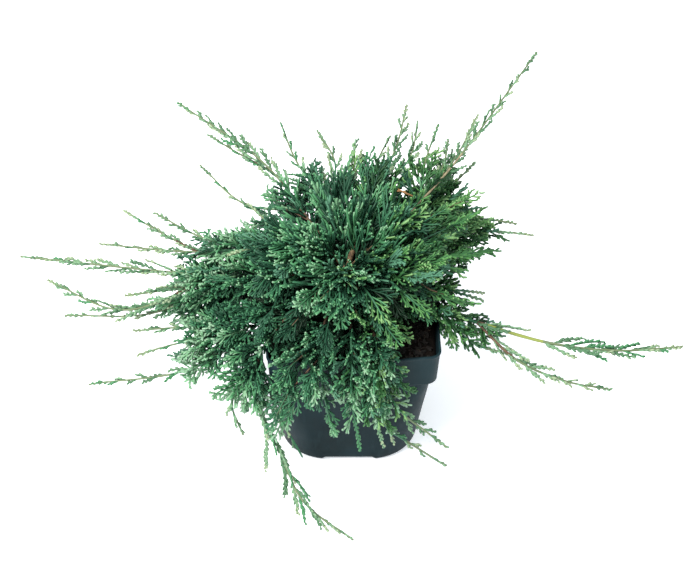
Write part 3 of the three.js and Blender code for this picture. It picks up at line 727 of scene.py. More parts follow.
# How wide the side shoots spread outside the dense foliage.
WIDTH = {
    ("crown_whip", 0): 0.85, ("crown_whip", 2): 1.2, ("crown_whip", 3): 1.2, ("left", 0): 1.1,
    ("left", 1): 1.25, ("left", 2): 0.75, ("left", 3): 0.9, ("upper_right", 0): 0.8, ("left_lower", 1): 0.8,
    ("left_lower", 2): 1.2, ("front_left", 0): 1.6, ("front_left", 1): 1.4, ("front_right", 1): 1.3,
    "right": 0.5, ("right_upper", 0): 1.9, ("right_upper", 1): 1.9, ("upper_left", 0): 1.3,
    ("upper_left", 2): 0.6, ("crown_back", 0): 1.3, ("crown_back", 1): 1.5, ("crown_back_left", 0): 1.1,
    ("crown_back_left", 1): 1.5, ("right_lower", 0): 1.4, ("right_lower", 1): 1.1,
}
# How much of the mound's depth the twigs leave free. Below zero they stand out of the mound.
CLOSER = {
    "left": -0.05, ("left", 1): 0.04, ("left", 2): 0.14, ("left_lower", 0): 0.2, ("left_lower", 1): 0.1,
    ("left_lower", 2): 0.1, "left_upper": -0.02, "front_left": 0.1, "upper_left": 0.18,
    ("upper_left", 2): 0.3, "crown_back": 0.1, "crown_back_left": 0.18, ("crown_back_left", 0): 0.02,
    ("crown_left", 1): -0.06, ("crown_left", 2): 0.16, "right_upper": -0.03, "right_back": -0.1,
    "crown_whip": -0.1, "right_lower": 0.12, ("right_lower", 2): 0.0, "crown_right": -0.04,
    ("right", 0): -0.06, ("right", 1): 0.12, "upper_right": 0.07, ("upper_right", 1): -0.07,
}
# How far the twigs are from each other, as a share of the usual.
CROWDED = {
    "front": 0.6, "front_middle": 0.6, "front_right": 0.6, "front_left": 0.5, "left_lower": 0.4, "left": 0.33,
    "right_lower": 0.5, "upper_right": 0.42, "right_upper": 0.36, "right": 0.55, ("upper_left", 0): 0.7,
    ("crown_back_left", 0): 0.65, "crown_back": 0.75, "crown_whip": 0.8, ("crown_left", 1): 0.45,
}
# Where a stem is bare, from and until, in millimetres along its line, and which of the stem finishes it has
# there: 3 is pale bark and 4 a fresh green stem.
BARE = {("crown_whip", 0): (70, 165, 3), ("right_lower", 0): (140, 195, 4)}
NOT_BARE = (0, 0, 3)
# How much the twigs rise as they leave a stem inside the mound.
LIFT = {"right_lower": -0.15, "left": 0.0, "left_lower": 0.33}
# A stem's radius at its start, in millimetres.
STOUT = {("right_lower", 0): 2.1, ("right_lower", 1): 1.4, "crown_whip": 1.1}


def of_whip(table, line, usual):
    """What a table says of a line: its entry for that whip, or else for the whole mass, or else the usual."""
    name = MASSES[line["mass"]][0]
    return table.get((name, line["whip"]), table.get(name, usual))


print("left whip's dense foliage ends at:", of_whip(FULL, {"mass": 1, "whip": 0}, 0), "mm")

# %% Centrelines
TRUNK_FOOT = np.array([0.0, 0.0, SOIL_TOP + GAP])
TRUNK_HEAD = np.array([-3.0, 4.0, 196.0])
SAMPLE_EVERY = 7


def polar(station):
    """The place of a station: (reach cos azimuth, reach sin azimuth, height)."""
    azimuth, reach, height = station
    a = math.radians(azimuth)
    return np.array([reach * math.cos(a), reach * math.sin(a), height])


def smooth_line(stations, step=1.0):
    """A centripetal Catmull-Rom curve through points, as points a step apart.

    Each stretch is a cubic from its two ends and their tangents. The knots lie the root of the distance
    apart, and a tangent is the slope before plus the slope after, less the slope over both.
    """
    p = np.array(stations, float)
    p = np.concatenate([[2 * p[0] - p[1]], p, [2 * p[-1] - p[-2]]])
    knot = np.maximum(np.sqrt(np.linalg.norm(np.diff(p, axis=0), axis=1)), 1e-4)[:, None]
    slope = np.diff(p, axis=0) / knot
    over_both = (p[2:] - p[:-2]) / (knot[1:] + knot[:-1])
    tangent = slope[:-1] - over_both + slope[1:]
    t = np.linspace(0, 1, 200, endpoint=False)[:, None]
    stretches = []
    for k in range(len(stations) - 1):
        a, b, width = p[k + 1], p[k + 2], knot[k + 1]
        ta, tb = tangent[k] * width, tangent[k + 1] * width
        stretches.append(a + ta * t + (3 * (b - a) - 2 * ta - tb) * t**2 + (2 * (a - b) + ta + tb) * t**3)
    fine = np.concatenate(stretches + [p[-2:-1]])
    length = np.concatenate([[0], np.cumsum(np.linalg.norm(np.diff(fine, axis=0), axis=1))])
    even = np.linspace(0, length[-1], max(2, round(length[-1] / step)) + 1)
    return np.stack([np.interp(even, length, fine[:, k]) for k in range(3)], -1)


lines = []
for number, (name, height, bough, forks, whips) in enumerate(MASSES):
    bough_root = mix(TRUNK_FOOT, TRUNK_HEAD, (height - SOIL_TOP) / (TRUNK_HEAD[2] - SOIL_TOP))
    main = smooth_line([bough_root, polar(bough), *map(polar, whips[0])])
    bough_reach = np.linalg.norm(polar(bough) - bough_root)
    bough_end = int(np.argmax(np.linalg.norm(main - bough_root, axis=1) >= bough_reach))
    azimuth = math.radians(bough[0])
    level = np.array([-math.sin(azimuth), math.cos(azimuth), 0.0])
    lines.append({"mass": number, "whip": 0, "path": main, "start": bough_end, "main": True, "level": level})
    for order, (fork, whip) in enumerate(zip(forks, whips[1:]), 1):
        path = smooth_line([main[round(fork * (len(main) - 1))], *map(polar, whip)])
        lines.append({"mass": number, "whip": order, "path": path, "start": 0, "main": False, "level": level})
samples = [line["path"][::SAMPLE_EVERY] for line in lines]
sample_mass = np.repeat([line["mass"] for line in lines], [len(points) for points in samples])
samples = np.concatenate(samples)
print("lines:", len(lines), "of", round(sum(len(line["path"]) for line in lines) / 1000, 2), "m in all")

# %% [markdown]
# ## The mound and the room round each limb
# The crown's tips end about the surface of a low mound, a rounded box that leans back and to the right. How
# deep a point lies in it decides how far a twig reaches. At the front right the mound is cut back a little,
# where the photograph shows the pot under it. Three more rules keep the plant real: nothing grows through
# the pot, the mix or the floor, a gap between the fans that hang over the front stays open, and a twig
# stays nearer to its own mass's limbs than to another's, give or take a few millimetres, so that neighbours
# interlock without tangling.

# %% Depth in the mound
MOUND = {"x": -31, "y": 10, "level": 156, "wide": 168, "deep": 152, "rise": 104, "drop": 60}
MOUND_TILT = 0.16
MOUND_LEAN = 0.34
MOUND_POWER = 2.6
MOUND_EDGE = 0.86
OPENING = {"azimuth": 308, "half": 21, "under": 182, "fade": 20, "depth": 0.45}


def mound_share(p):
    """0 in the mound's middle and 1 on its surface: the sum of the three shares to a power, rooted."""
    x, y, z = p[..., 0], p[..., 1], p[..., 2]
    up = z - MOUND["level"] - MOUND_TILT * x
    shares = [
        (x - MOUND["x"] - MOUND_LEAN * up) / MOUND["wide"],
        (y - MOUND["y"] - MOUND_LEAN * up) / MOUND["deep"],
        up / np.where(up > 0, MOUND["rise"], MOUND["drop"]),
    ]
    share = sum(np.abs(part) ** MOUND_POWER for part in shares) ** (1 / MOUND_POWER)
    bearing = np.degrees(np.arctan2(y, x)) + 360 - OPENING["azimuth"]
    aside = np.minimum(1, np.abs(bearing) / OPENING["half"])
    under = ramp(z, OPENING["under"], OPENING["under"] - OPENING["fade"])
    return share * (1 + OPENING["depth"] * (1 - aside**2) * under)


print("mound depth at the trunk's head:", round(float(mound_share(TRUNK_HEAD)), 2))

# %% What is free
OVER_FLOOR = 2.5
OVER_MIX = 4
TRUNK_ROOM = 10
FRONT_GAP = {"x": -43, "half": 12, "from": -68, "until": -125, "top": 128}


def is_free(p, clearance=1.5):
    """Whether points are clear of the floor, the pot with its mix, and the trunk."""
    x, y, z = p[..., 0], p[..., 1], p[..., 2]
    low = np.minimum(z, POT_HEIGHT)
    pot_x, pot_y = x - BASE_SHIFT[0] * shift_at(low), y - BASE_SHIFT[1] * shift_at(low)
    from_middle = np.hypot(pot_x, pot_y)
    wall = square_reach(outer_half(low), corner_at(low), bow_at(low), np.arctan2(pot_y, pot_x) - yaw_at(low))
    over_pot = from_middle >= wall + clearance
    over_mix = (z > SOIL_TOP + OVER_MIX) & (from_middle < wall - WALL - 2)
    share = ramp(z, SOIL_TOP, TRUNK_HEAD[2])
    from_trunk = np.hypot(x - TRUNK_HEAD[0] * share, y - TRUNK_HEAD[1] * share)
    off_trunk = (z > TRUNK_HEAD[2] + 3) | (from_trunk > TRUNK_ROOM + clearance)
    return (z > OVER_FLOOR) & ((z > POT_HEIGHT + clearance) | over_pot | over_mix) & off_trunk


def in_gap(p, margin=0.0):
    """Whether points are in the gap between the hanging fans of the front, where the pot shows."""
    x, y, z = p[..., 0], p[..., 1], p[..., 2]
    across = np.abs(x - FRONT_GAP["x"]) < FRONT_GAP["half"] + margin
    in_front = (y < FRONT_GAP["from"]) & (y > FRONT_GAP["until"])
    return across & in_front & (z < FRONT_GAP["top"] - margin)


def own_room(p, mass, batch=20000):
    """How much nearer points are to their own mass's limbs than to any other's, in millimetres.

    A squared distance is a^2 + b^2 - 2 a b, worked out for a batch of points at a time to save memory.
    """
    flat, owner = p.reshape(-1, 3), np.broadcast_to(mass, p.shape[:-1]).ravel()
    room = np.empty(len(flat))
    for start in range(0, len(flat), batch):
        part = slice(start, start + batch)
        squares = ((flat[part] ** 2).sum(1)[:, None] + (samples**2).sum(1)[None] - 2 * flat[part] @ samples.T)
        own = sample_mass[None] == owner[part][:, None]
        mine = np.where(own, squares, np.inf).min(1)
        others = np.where(own, np.inf, squares).min(1)
        room[part] = np.sqrt(np.maximum(others, 0)) - np.sqrt(np.maximum(mine, 0))
    return room.reshape(p.shape[:-1])


over_trunk, in_mix = TRUNK_HEAD + [0, 0, 20], TRUNK_FOOT - [40, 0, 30]
print("free over the trunk:", is_free(over_trunk), "in the mix:", is_free(in_mix))

# %% [markdown]
# ## How a juniper branches
# A stem carries twigs. Inside the mound each is turned 137.5 degrees from the one before, so that none
# shades the next, and runs to the mound's surface, where it ends in a spray. On a whip outside, they are
# short shoots close to the stem, to its left and right by turns. A spray has strands to its left and right
# in one plane, longest low down and shorter towards its tip, and each strand has short lobes in the same
# way: fans within fans. Every one of them, from twig to lobe, is the same thing here: a strand, a quadratic
# Bezier from a root past a bend to a tip. Particles or instances would draw them too, but the export drops
# those, so all strands are worked out as arrays and become plain meshes.

# %% Strands
def bezier(s, u):
    """Points on strands at shares u of their length: (1 - u)^2 root + 2 u (1 - u) bend + u^2 tip."""
    u = u[..., None]
    return (1 - u) ** 2 * s["root"] + 2 * u * (1 - u) * s["bend"] + u**2 * s["tip"]


def heading(s, u):
    """Their directions there, along (1 - u) (bend - root) + u (tip - bend)."""
    u = u[..., None]
    return unit((1 - u) * (s["bend"] - s["root"]) + u * (s["tip"] - s["bend"]))


def pick(s, rows):
    """The strands at these rows."""
    return {key: values[rows] for key, values in s.items()}


def side_strands(parent, every, first, angle, slope, least, longest, wobble):
    """The strands on both sides of each parent, spaced along it from a first place.

    Each leaves at an angle to its parent, to the left and right by turns, tipped out of the parent's plane by
    a wobble. Its length is slope times the way left to the parent's tip plus the least, up to the longest.
    Every argument after the parent is one number or one for each parent.
    """
    count = len(parent["length"])
    every, first, angle, slope, least, longest = (
        np.broadcast_to(value, count) for value in (every, first, angle, slope, least, longest)
    )
    numbers = np.maximum(0, np.floor((parent["length"] - first - 0.6) / every)).astype(int)
    rows = np.repeat(np.arange(count), numbers)
    k = np.arange(len(rows)) - np.repeat(np.cumsum(numbers) - numbers, numbers)
    from_root = first[rows] + (k + rng.uniform(0.1, 0.9, len(rows))) * every[rows]
    p = pick(parent, rows)
    u = np.minimum(from_root / p["length"], 0.98)
    along = heading(p, u)
    face = unit(p["face"] - (p["face"] * along).sum(-1, keepdims=True) * along)
    side = np.cross(along, face) * np.where((k + p["phase"]) % 2, 1, -1)[:, None]
    tip_out = rng.normal(0, wobble, len(rows))[:, None]
    out = side * np.cos(tip_out) + face * np.sin(tip_out)
    lean = angle[rows][:, None] * rng.uniform(0.8, 1.2, (len(rows), 1))
    start = along * np.cos(lean) + out * np.sin(lean)
    end = along * np.cos(0.5 * lean) + out * np.sin(0.5 * lean)
    left = p["length"] * (1 - u)
    length = np.minimum(least[rows] + slope[rows] * left, longest[rows]) * rng.uniform(0.72, 1.15, len(rows))
    root = bezier(p, u)
    bend = root + start * length[:, None] * 0.5
    return dict(
        p,
        root=root,
        bend=bend,
        tip=bend + end * length[:, None] * 0.5,
        length=length,
        face=unit(face * np.cos(tip_out) - side * np.sin(tip_out)),
        phase=rng.integers(0, 2, len(rows)),
        to_go=left,
    )


arch = {"root": np.zeros((1, 3)), "bend": np.array([[0.0, 5.0, 5.0]]), "tip": np.array([[0.0, 10.0, 0.0]])}
print("the middle of an arched strand:", bezier(arch, np.array([0.5])))

# %% Where twigs leave the stems
SPRAY_EVERY = 3.9
SHOOT_EVERY = 9.5
TURN = math.radians(137.5)
FULL_ABOVE = 92
USUAL_LIFT = 0.25
FIRST_TWIG = {True: 14.0, False: 4.0}
END_LENGTH = {True: 46, False: 22}

ends = []
kept = ("at", "along", "side", "out", "turn", "inside", "mass", "to_tip", "width", "closer", "lift")
found = {key: [] for key in kept}
for line in lines:
    path = line["path"]
    along = unit(np.gradient(path, axis=0))
    side = unit(line["level"] - (along @ line["level"])[:, None] * along)
    out = np.cross(along, side)
    width = of_whip(WIDTH, line, 1.0)
    closer = of_whip(CLOSER, line, 0.0)
    lift = of_whip(LIFT, line, USUAL_LIFT)
    full = (np.hypot(path[:, 0], path[:, 1]) < of_whip(FULL, line, 0)) & (path[:, 2] > FULL_ABOVE)
    inside = (mound_share(path) < MOUND_EDGE - max(0, closer)) | full
    spray_every = SPRAY_EVERY * of_whip(CROWDED, line, 1.0)
    shoot_every = SHOOT_EVERY / width**0.5
    bare_from, bare_until, _ = of_whip(BARE, line, NOT_BARE)
    last = min(END_LENGTH[bool(inside[-40])], len(path) // 2)
    halfway = -1 - last // 2
    ends.append((path[-1 - last], path[halfway], path[-1], line["mass"], inside[halfway], min(width, 1.0)))
    at, k = FIRST_TWIG[line["main"]], 0
    while at < len(path) - last:
        i = int(at)
        if not bare_from < i < bare_until:
            way = (path[i], along[i], side[i], out[i], k * TURN)
            values = (*way, inside[i], line["mass"], len(path) - i, width, closer, lift)
            for key, value in zip(kept, values):
                found[key].append(value)
        at += (spray_every if inside[i] else shoot_every) * rng.uniform(0.75, 1.25)
        k += 1
found = {key: np.array(values) for key, values in found.items()}
print("twigs on the stems:", len(found["mass"]), "inside the mound:", found["inside"].sum())

# %% Which way they leave
SHOOT_LIFT = 0.05
count = len(found["mass"])
inside_mound = found["inside"]
by_turns = found["turn"] / TURN * np.pi + rng.uniform(-0.6, 0.6, count)
turn = np.where(inside_mound, found["turn"] + rng.uniform(0, 1, count), by_turns)[:, None]
around = found["side"] * np.cos(turn) + found["out"] * np.sin(turn)
lean = np.radians(np.where(inside_mound, rng.uniform(44, 64, count), rng.uniform(17, 29, count)))[:, None]
raised = np.where(inside_mound, found["lift"], SHOOT_LIFT)[:, None] * [[0, 0, 1]]
first_way = unit(found["along"] * np.cos(lean) + around * np.sin(lean) + raised)
print("mean lean:", round(float(np.degrees(lean).mean()), 1), "degrees")

# %% Young shoots round the trunk's head
# They open like a whorl whose axis leans to the front. Each grows from the crown bough that points most
# nearly its way.
CROWN = np.array([-8.0, 5.0, 208.0])
CROWN_SHOOTS = 190
FAR = 99.0
axis = unit(np.array([-0.05, -0.38, 0.92]))
sideways = unit(np.cross([0, 1, 0], axis))
crown_lines = [line for line in lines if line["main"] and MASSES[line["mass"]][0].startswith("crown")]
bough_ways = np.array([unit(line["path"][line["start"] + 30] - line["path"][0]) for line in crown_lines])
shoot_turn = (np.arange(CROWN_SHOOTS) * TURN + rng.normal(0, 0.1, CROWN_SHOOTS))[:, None]
open_by = np.radians(rng.uniform(28, 92, CROWN_SHOOTS))[:, None]
ring_way = sideways * np.cos(shoot_turn) + np.cross(axis, sideways) * np.sin(shoot_turn)
shoot_way = axis * np.cos(open_by) + ring_way * np.sin(open_by)
for chosen in (ring_way @ bough_ways.T).argmax(1):
    line = crown_lines[chosen]
    i = int(rng.uniform(8, 44))
    at, on = line["path"][i], line["path"][i + 1]
    shoot = {"at": at, "along": unit(on - at), "mass": line["mass"]}
    shoot.update({"to_tip": FAR, "width": 1.0, "closer": 0.0})
    for key, value in shoot.items():
        found[key] = np.concatenate([found[key], [value]])
whorl = np.r_[np.zeros(count, bool), np.ones(CROWN_SHOOTS, bool)]
first_way = np.concatenate([first_way, shoot_way])
inside_mound = np.r_[inside_mound, np.ones(CROWN_SHOOTS, bool)]
count += CROWN_SHOOTS
print("with the whorl:", count, "twigs")

# %% How long each twig is
# A twig inside the mound goes on until it is at its share of the mound's depth, or meets something. Some stay
# short and fill the inside, a few more of them on the left. A shoot on a whip is shorter near the whip's tip.
STEP = 2.0
LONGEST = 132
INTO_OTHERS = 12
WHORL_INTO_OTHERS = 40
steps = np.arange(STEP, LONGEST, STEP)
ahead = found["at"][:, None] + first_way[:, None] * steps[:, None]
inner = rng.uniform(0, 1, count) < 0.3 + 0.14 * ramp(-found["at"][:, 0], 50, 90)
wanted = np.where(inner, rng.uniform(0.4, 0.74, count), rng.uniform(0.74, 0.98, count) - found["closer"])
own = own_room(ahead, found["mass"][:, None]) > np.where(whorl, -WHORL_INTO_OTHERS, -INTO_OTHERS)[:, None]
is_clear = is_free(ahead, 3.0) & (own | (steps < 14)) & ~in_gap(ahead, 5.0)
reach = STEP * np.cumprod((mound_share(ahead) < wanted[:, None]) & is_clear, axis=1).sum(1)
reach = np.where(whorl, np.minimum(reach, rng.uniform(55, 105, count)), reach)
spray_size = rng.uniform(36, 62, count)
shortest = rng.uniform(12, 24, count)
on_whip = np.minimum(6 + 0.17 * found["to_tip"], 29) * rng.uniform(0.75, 1.2, count) * found["width"]
length = np.where(inside_mound, np.maximum(reach, shortest), on_whip)
print("mean length inside:", round(float(length[inside_mound].mean()), 1), "mm")

# %% The twigs as strands
# A spray faces away from the plant's heart, and a fan that hangs over the front lies flat against the pot.
HEART = np.array([-20, 15, 150])
outward = unit(found["at"] - HEART)
fronts = [number for number, (name, *_) in enumerate(MASSES) if name.startswith("front")]
hangs = np.isin(found["mass"], fronts)[:, None]
end_way = unit(first_way * 0.55 + found["along"] * 0.45 + outward * 0.35 + rng.normal(0, 0.12, (count, 3)))
bend = found["at"] + first_way * length[:, None] * 0.5
facing = np.where(hangs, outward * [1, 1, 0.2], outward)
twigs = {
    "root": found["at"],
    "bend": bend,
    "tip": bend + end_way * length[:, None] * 0.5,
    "length": length,
    "face": unit(facing + rng.normal(0, 1, (count, 3)) * np.where(hangs, 0.15, 0.4)),
    "phase": rng.integers(0, 2, count),
    "mass": found["mass"],
    "inside": inside_mound,
    "width": found["width"],
    "size": np.where(inside_mound, spray_size, length),
    "to_go": np.full(count, FAR),
}
ok = is_free(twigs["tip"]) & is_free(bezier(twigs, np.full(count, 0.6))) & (length > 5)
twigs = pick(twigs, ok)
print("twigs:", len(ok), "kept:", ok.sum())

# %% The stems' own ends
# Each stem ends in a spray of its own: its last few centimetres are one more twig.
end_root, end_middle, end_tip, end_mass, end_inside, end_width = (np.array(values) for values in zip(*ends))
end_length = np.linalg.norm(end_tip - end_root, axis=1)
last_twigs = {
    "root": end_root,
    "bend": 2 * end_middle - (end_root + end_tip) / 2,
    "tip": end_tip,
    "length": end_length,
    "face": unit(unit(end_middle - HEART) + rng.normal(0, 0.3, end_tip.shape)),
    "phase": rng.integers(0, 2, len(end_tip)),
    "mass": end_mass,
    "inside": end_inside,
    "width": end_width,
    "size": end_length,
    "to_go": np.full(len(end_tip), FAR),
}
twigs = {key: np.concatenate([twigs[key], last_twigs[key]]) for key in twigs}
print("twigs:", len(twigs["length"]), "inside the mound:", twigs["inside"].sum())

# %% Strands and lobes
# Near the crown's middle the twigs are young, long and slender, and spread like a wheel, with fewer and
# narrower strands.
ALIVE = 0.9985
from_crown = np.linalg.norm(twigs["tip"] - CROWN, axis=1)
twigs["slim"] = (1 - ramp(from_crown, 75, 135)) * ramp(twigs["tip"][:, 2], 180, 205) * twigs["inside"]
slim = twigs["slim"]
twigs["sunny"] = rng.uniform(0, 1, len(slim))
twigs["warmth"] = rng.uniform(0, 1, len(slim))
twigs["dead"] = np.zeros(len(slim), bool)
strands = side_strands(
    twigs,
    every=np.where(twigs["inside"], mix(3.5, 5.2, slim), 2.6),
    first=np.where(twigs["inside"], np.maximum(4, twigs["length"] - twigs["size"]), 2.5),
    angle=np.radians(np.where(twigs["inside"], mix(38, 25, slim), 30)),
    slope=np.where(twigs["inside"], mix(0.42, 0.62, slim), 0.3),
    least=np.where(twigs["inside"], mix(5, 8, slim), 2.6),
    longest=np.where(twigs["inside"], mix(19, 38, slim), 5.2 * np.sqrt(twigs["width"])),
    wobble=0.33,
)
strands = pick(strands, is_free(strands["tip"]) & ~in_gap(strands["tip"]))
strands["dead"] = strands["inside"] & (rng.uniform(0, 1, len(strands["length"])) > ALIVE)
lobes = side_strands(
    strands,
    every=mix(3.5, 4.6, strands["slim"]),
    first=np.maximum(2.8, strands["length"] * 0.62 * strands["slim"]),
    angle=math.radians(40),
    slope=0.38,
    least=3.0,
    longest=mix(7.2, 5.0, strands["slim"]),
    wobble=0.27,
)
lobes = pick(lobes, is_free(lobes["tip"]))
print("strands:", len(strands["length"]), "lobes:", len(lobes["length"]))

# %% [markdown]
# ## Scale leaves
# A strand of this juniper is a thin stem hidden under four ranks of scales, 1.5 to 2 mm thick with a blunt
# tip. At this distance each one is a pixel or two wide, so a three-sided spindle with smooth shading is
# enough, and keeps a hundred thousand of them light. It is a little thicker than a real one, so that fewer
# of them fill the crown. The waxy bloom gives it a soft, bluish sheen. A few strands have died and turned
# rusty. Each spray is dealt its tints as in the photograph: plain colours, with paler ones at its tip,
# partly young growth and partly a painted highlight, and yellower ones on the right. Painted light makes
# them paler low on the left, in front and far from the crown, and painted shade makes them darker on the
# right and deep in the mound. An image or a noise would cost more and show less at this size.

# %% Leaf materials
# The first six tints and the four warm ones are lit and shaded steps of one leaf colour: painted light and
# painted shade, from deep shade to tip.
TINTS = [
    ("scale_leaf_deep_shade", "#0d2417"),
    ("scale_leaf_shade", "#1c4230"),
    ("scale_leaf_mid_shade", "#2e5d43"),
    ("scale_leaf_green", "#417751"),
    ("scale_leaf_light", "#66936f"),
    ("scale_leaf_tip", "#7c9f84"),
    ("scale_leaf_bloom", "#437059"),
    ("scale_leaf_rust", "#80603f"),
    ("scale_leaf_warm_shade", "#1f4327"),
    ("scale_leaf_warm_mid_shade", "#305c35"),
    ("scale_leaf_warm_green", "#467642"),
    ("scale_leaf_warm_light", "#6a925e"),
    ("whip_leaf_green", "#4a6f52"),
    ("whip_leaf_light", "#688b6c"),
    ("whip_leaf_tip", "#86997b"),
]
DEEP_SHADE, SHADE, MID_SHADE, GREEN, LIGHT, TIP, BLOOM, RUST = range(8)
WARM_SHADE, WARM_MID_SHADE, WARM_GREEN, WARM_LIGHT, WHIP_GREEN, WHIP_LIGHT, WHIP_TIP = range(8, len(TINTS))
leaf_materials = []
for name, tint in TINTS:
    leaf, _, _ = new_material(name, {
        "Base Color": colour(tint), "Roughness": 0.5, "IOR": 1.45, "Specular IOR Level": 0.25,
    })
    leaf_materials.append(leaf)
print("leaf tints:", len(leaf_materials))

# %% Stem and bark materials
whip_stem, _, _ = new_material("scale_leaf_stem", {
    "Base Color": colour("#5a6a4c"), "Roughness": 0.6, "IOR": 1.45,
})
young_stem, _, _ = new_material("young_scale_stem", {
    "Base Color": colour("#76823c"), "Roughness": 0.55, "IOR": 1.45,
})


def bark(name, dark, pale, patch, relief):
    """Peeling bark: a noise of patches of a size in metres between two browns, and a bump of that depth."""
    material, tree, shader = new_material(name, {"Roughness": 0.82, "IOR": 1.45})
    place = add(tree, "TexCoord").outputs["Object"]
    flakes = add(tree, "TexNoise", {"Vector": place, "Scale": 1 / patch, "Detail": 5.0, "Roughness": 0.68})
    tone = add(tree, "ValToRGB", {"Fac": flakes.outputs["Fac"]}, [(0.35, dark), (0.69, pale)])
    tree.links.new(tone.outputs["Color"], shader.inputs["Base Color"])
    bump = add(tree, "Bump", {"Height": flakes.outputs["Fac"], "Strength": 0.75, "Distance": relief})
    tree.links.new(bump.outputs["Normal"], shader.inputs["Normal"])
    return material


aged_bark = bark("juniper_bark", "#38291f", "#98805f", 0.005, 0.0006)
bark_stem = bark("young_juniper_bark", "#33261d", "#6b5542", 0.004, 0.0004)
whip_bark = bark("pale_whip_bark", "#655c47", "#938a6e", 0.004, 0.0003)
stem_materials = [bark_stem, leaf_materials[MID_SHADE], whip_stem, whip_bark, young_stem]
BROWN, GREEN_STEM, WHIP_STEM, PALE_BARK, YOUNG_STEM = range(len(stem_materials))
print("stem finishes:", [material.name for material in stem_materials])


# %% Meshes of strands
def spindles(s, thickness, profile, sides=3):
    """Triangles for strands: rings of a few sides at a profile's shares and relative widths, closed by poles.

    A ring's points are centre + r (face cos a + side sin a), with a going round, and its frame is square to
    the strand.
    """
    count, rings = len(s["length"]), len(profile)
    u = np.broadcast_to([share for share, _ in profile], (count, rings))
    wide = np.array([width for _, width in profile])
    grown = {key: s[key][:, None] for key in ("root", "bend", "tip")}
    middle, along = bezier(grown, u), heading(grown, u)
    face = unit(s["face"][:, None] - (s["face"][:, None] * along).sum(-1, keepdims=True) * along)
    side = np.cross(along, face)
    a = np.arange(sides) * 2 * np.pi / sides
    r = (thickness[:, None] * wide / 2)[..., None, None]
    face_way, side_way = face[:, :, None] * np.cos(a)[:, None], side[:, :, None] * np.sin(a)[:, None]
    ring = middle[:, :, None] + r * (face_way + side_way)
    points = np.concatenate([ring.reshape(count, -1, 3), s["root"][:, None], s["tip"][:, None]], 1)
    j = np.arange(sides)
    around, one = (j + 1) % sides, []
    for k in range(rings - 1):
        low, high = k * sides, (k + 1) * sides
        one.append(np.stack([low + j, low + around, high + around], -1))
        one.append(np.stack([low + j, high + around, high + j], -1))
    foot, head, last = rings * sides, rings * sides + 1, (rings - 1) * sides
    one.append(np.stack([around, j, np.full(sides, foot)], -1))
    one.append(np.stack([last + j, last + around, np.full(sides, head)], -1))
    one = np.concatenate(one)
    triangles = one[None] + (rings * sides + 2) * np.arange(count)[:, None, None]
    return points.reshape(-1, 3), triangles.reshape(-1, 3), len(one)


one_lobe = spindles(pick(lobes, [0]), np.ones(1), [(0.22, 0.85), (0.82, 1.0)])
print("triangles of one lobe:", one_lobe[2])

# %% Dealing out the tints
NEAR_TIP = 13


def deal_tints(s):
    """The number of each strand's tint: its spray's own, paler towards tips, and darker deep in the mound as
    painted shade.

    Inside the mound a strand's light is its spray's, plus painted light low on the left, low in front, on
    the left and far from the crown, and painted shade on the right. Steps of it give the tints from shade to
    tip.
    """
    inside = s["inside"]
    x, y, z = s["root"].T
    # Painted light: sprays low on the left, low in front, on the left and far from the crown are dealt paler
    # tints, and painted shade gives those on the right darker ones.
    low_left = ramp(-x - 0.3 * y, 80, 150) * ramp(165 - z, 0, 40)
    low_front = ramp(-y, 70, 100) * ramp(150 - z, 0, 40) * (1 - low_left)
    lit_left_shaded_right = 0.08 * ramp(-x, 50, 120) - 0.2 * ramp(x + 0.4 * y, 40, 130)
    sunny = s["sunny"] + (0.3 * low_left + 0.15 * low_front + lit_left_shaded_right) * inside
    rim = 0.4 * ramp(np.linalg.norm(s["tip"] - CROWN, axis=1), 90, 190)
    light = sunny + rim
    near_tip = s["to_go"] < NEAR_TIP
    depth = mound_share(s["tip"])
    tint = SHADE + (light > 0.3) + (light > 0.75) + (light > 1.05) + near_tip * (sunny > 0.35)
    # Painted shade: a strand deep in the mound is dealt one step darker, mid shade at the most.
    tint = np.where(inside & (depth < 0.75), np.minimum(tint - 1, MID_SHADE), np.minimum(tint, TIP))
    # Painted light: near the surface low on the left, sprays are dealt tints from green to light, or tip.
    lit_low_left = inside & (depth > 0.7) & (low_left > 0.5)
    tint = np.where(lit_low_left, np.clip(tint, GREEN, LIGHT + (sunny > 0.8)), tint)
    # Painted shade: the deepest strands take the deep shade tint.
    tint = np.where(inside & (depth < 0.55), DEEP_SHADE, tint)
    warm = (tint > DEEP_SHADE) & (tint < TIP) & (x + 90 * (s["warmth"] - 0.5) > 42)
    tint = np.where(warm, tint + WARM_SHADE - SHADE, tint)
    tint = np.where(inside, tint, WHIP_GREEN + (sunny > 0.6) + near_tip * (sunny > 0.3))
    tint = np.where(~inside & (sunny < 0.12), GREEN, tint)
    tint = np.where(inside & (depth > 0.75) & (sunny > 0.64) & (sunny < 0.72), BLOOM, tint)
    return np.where(s["dead"], RUST, tint)


CAN_PALE = [SHADE, MID_SHADE, GREEN, LIGHT, WARM_SHADE, WARM_MID_SHADE, WARM_GREEN, WHIP_GREEN, WHIP_LIGHT]
print("dead strands:", strands["dead"].sum())
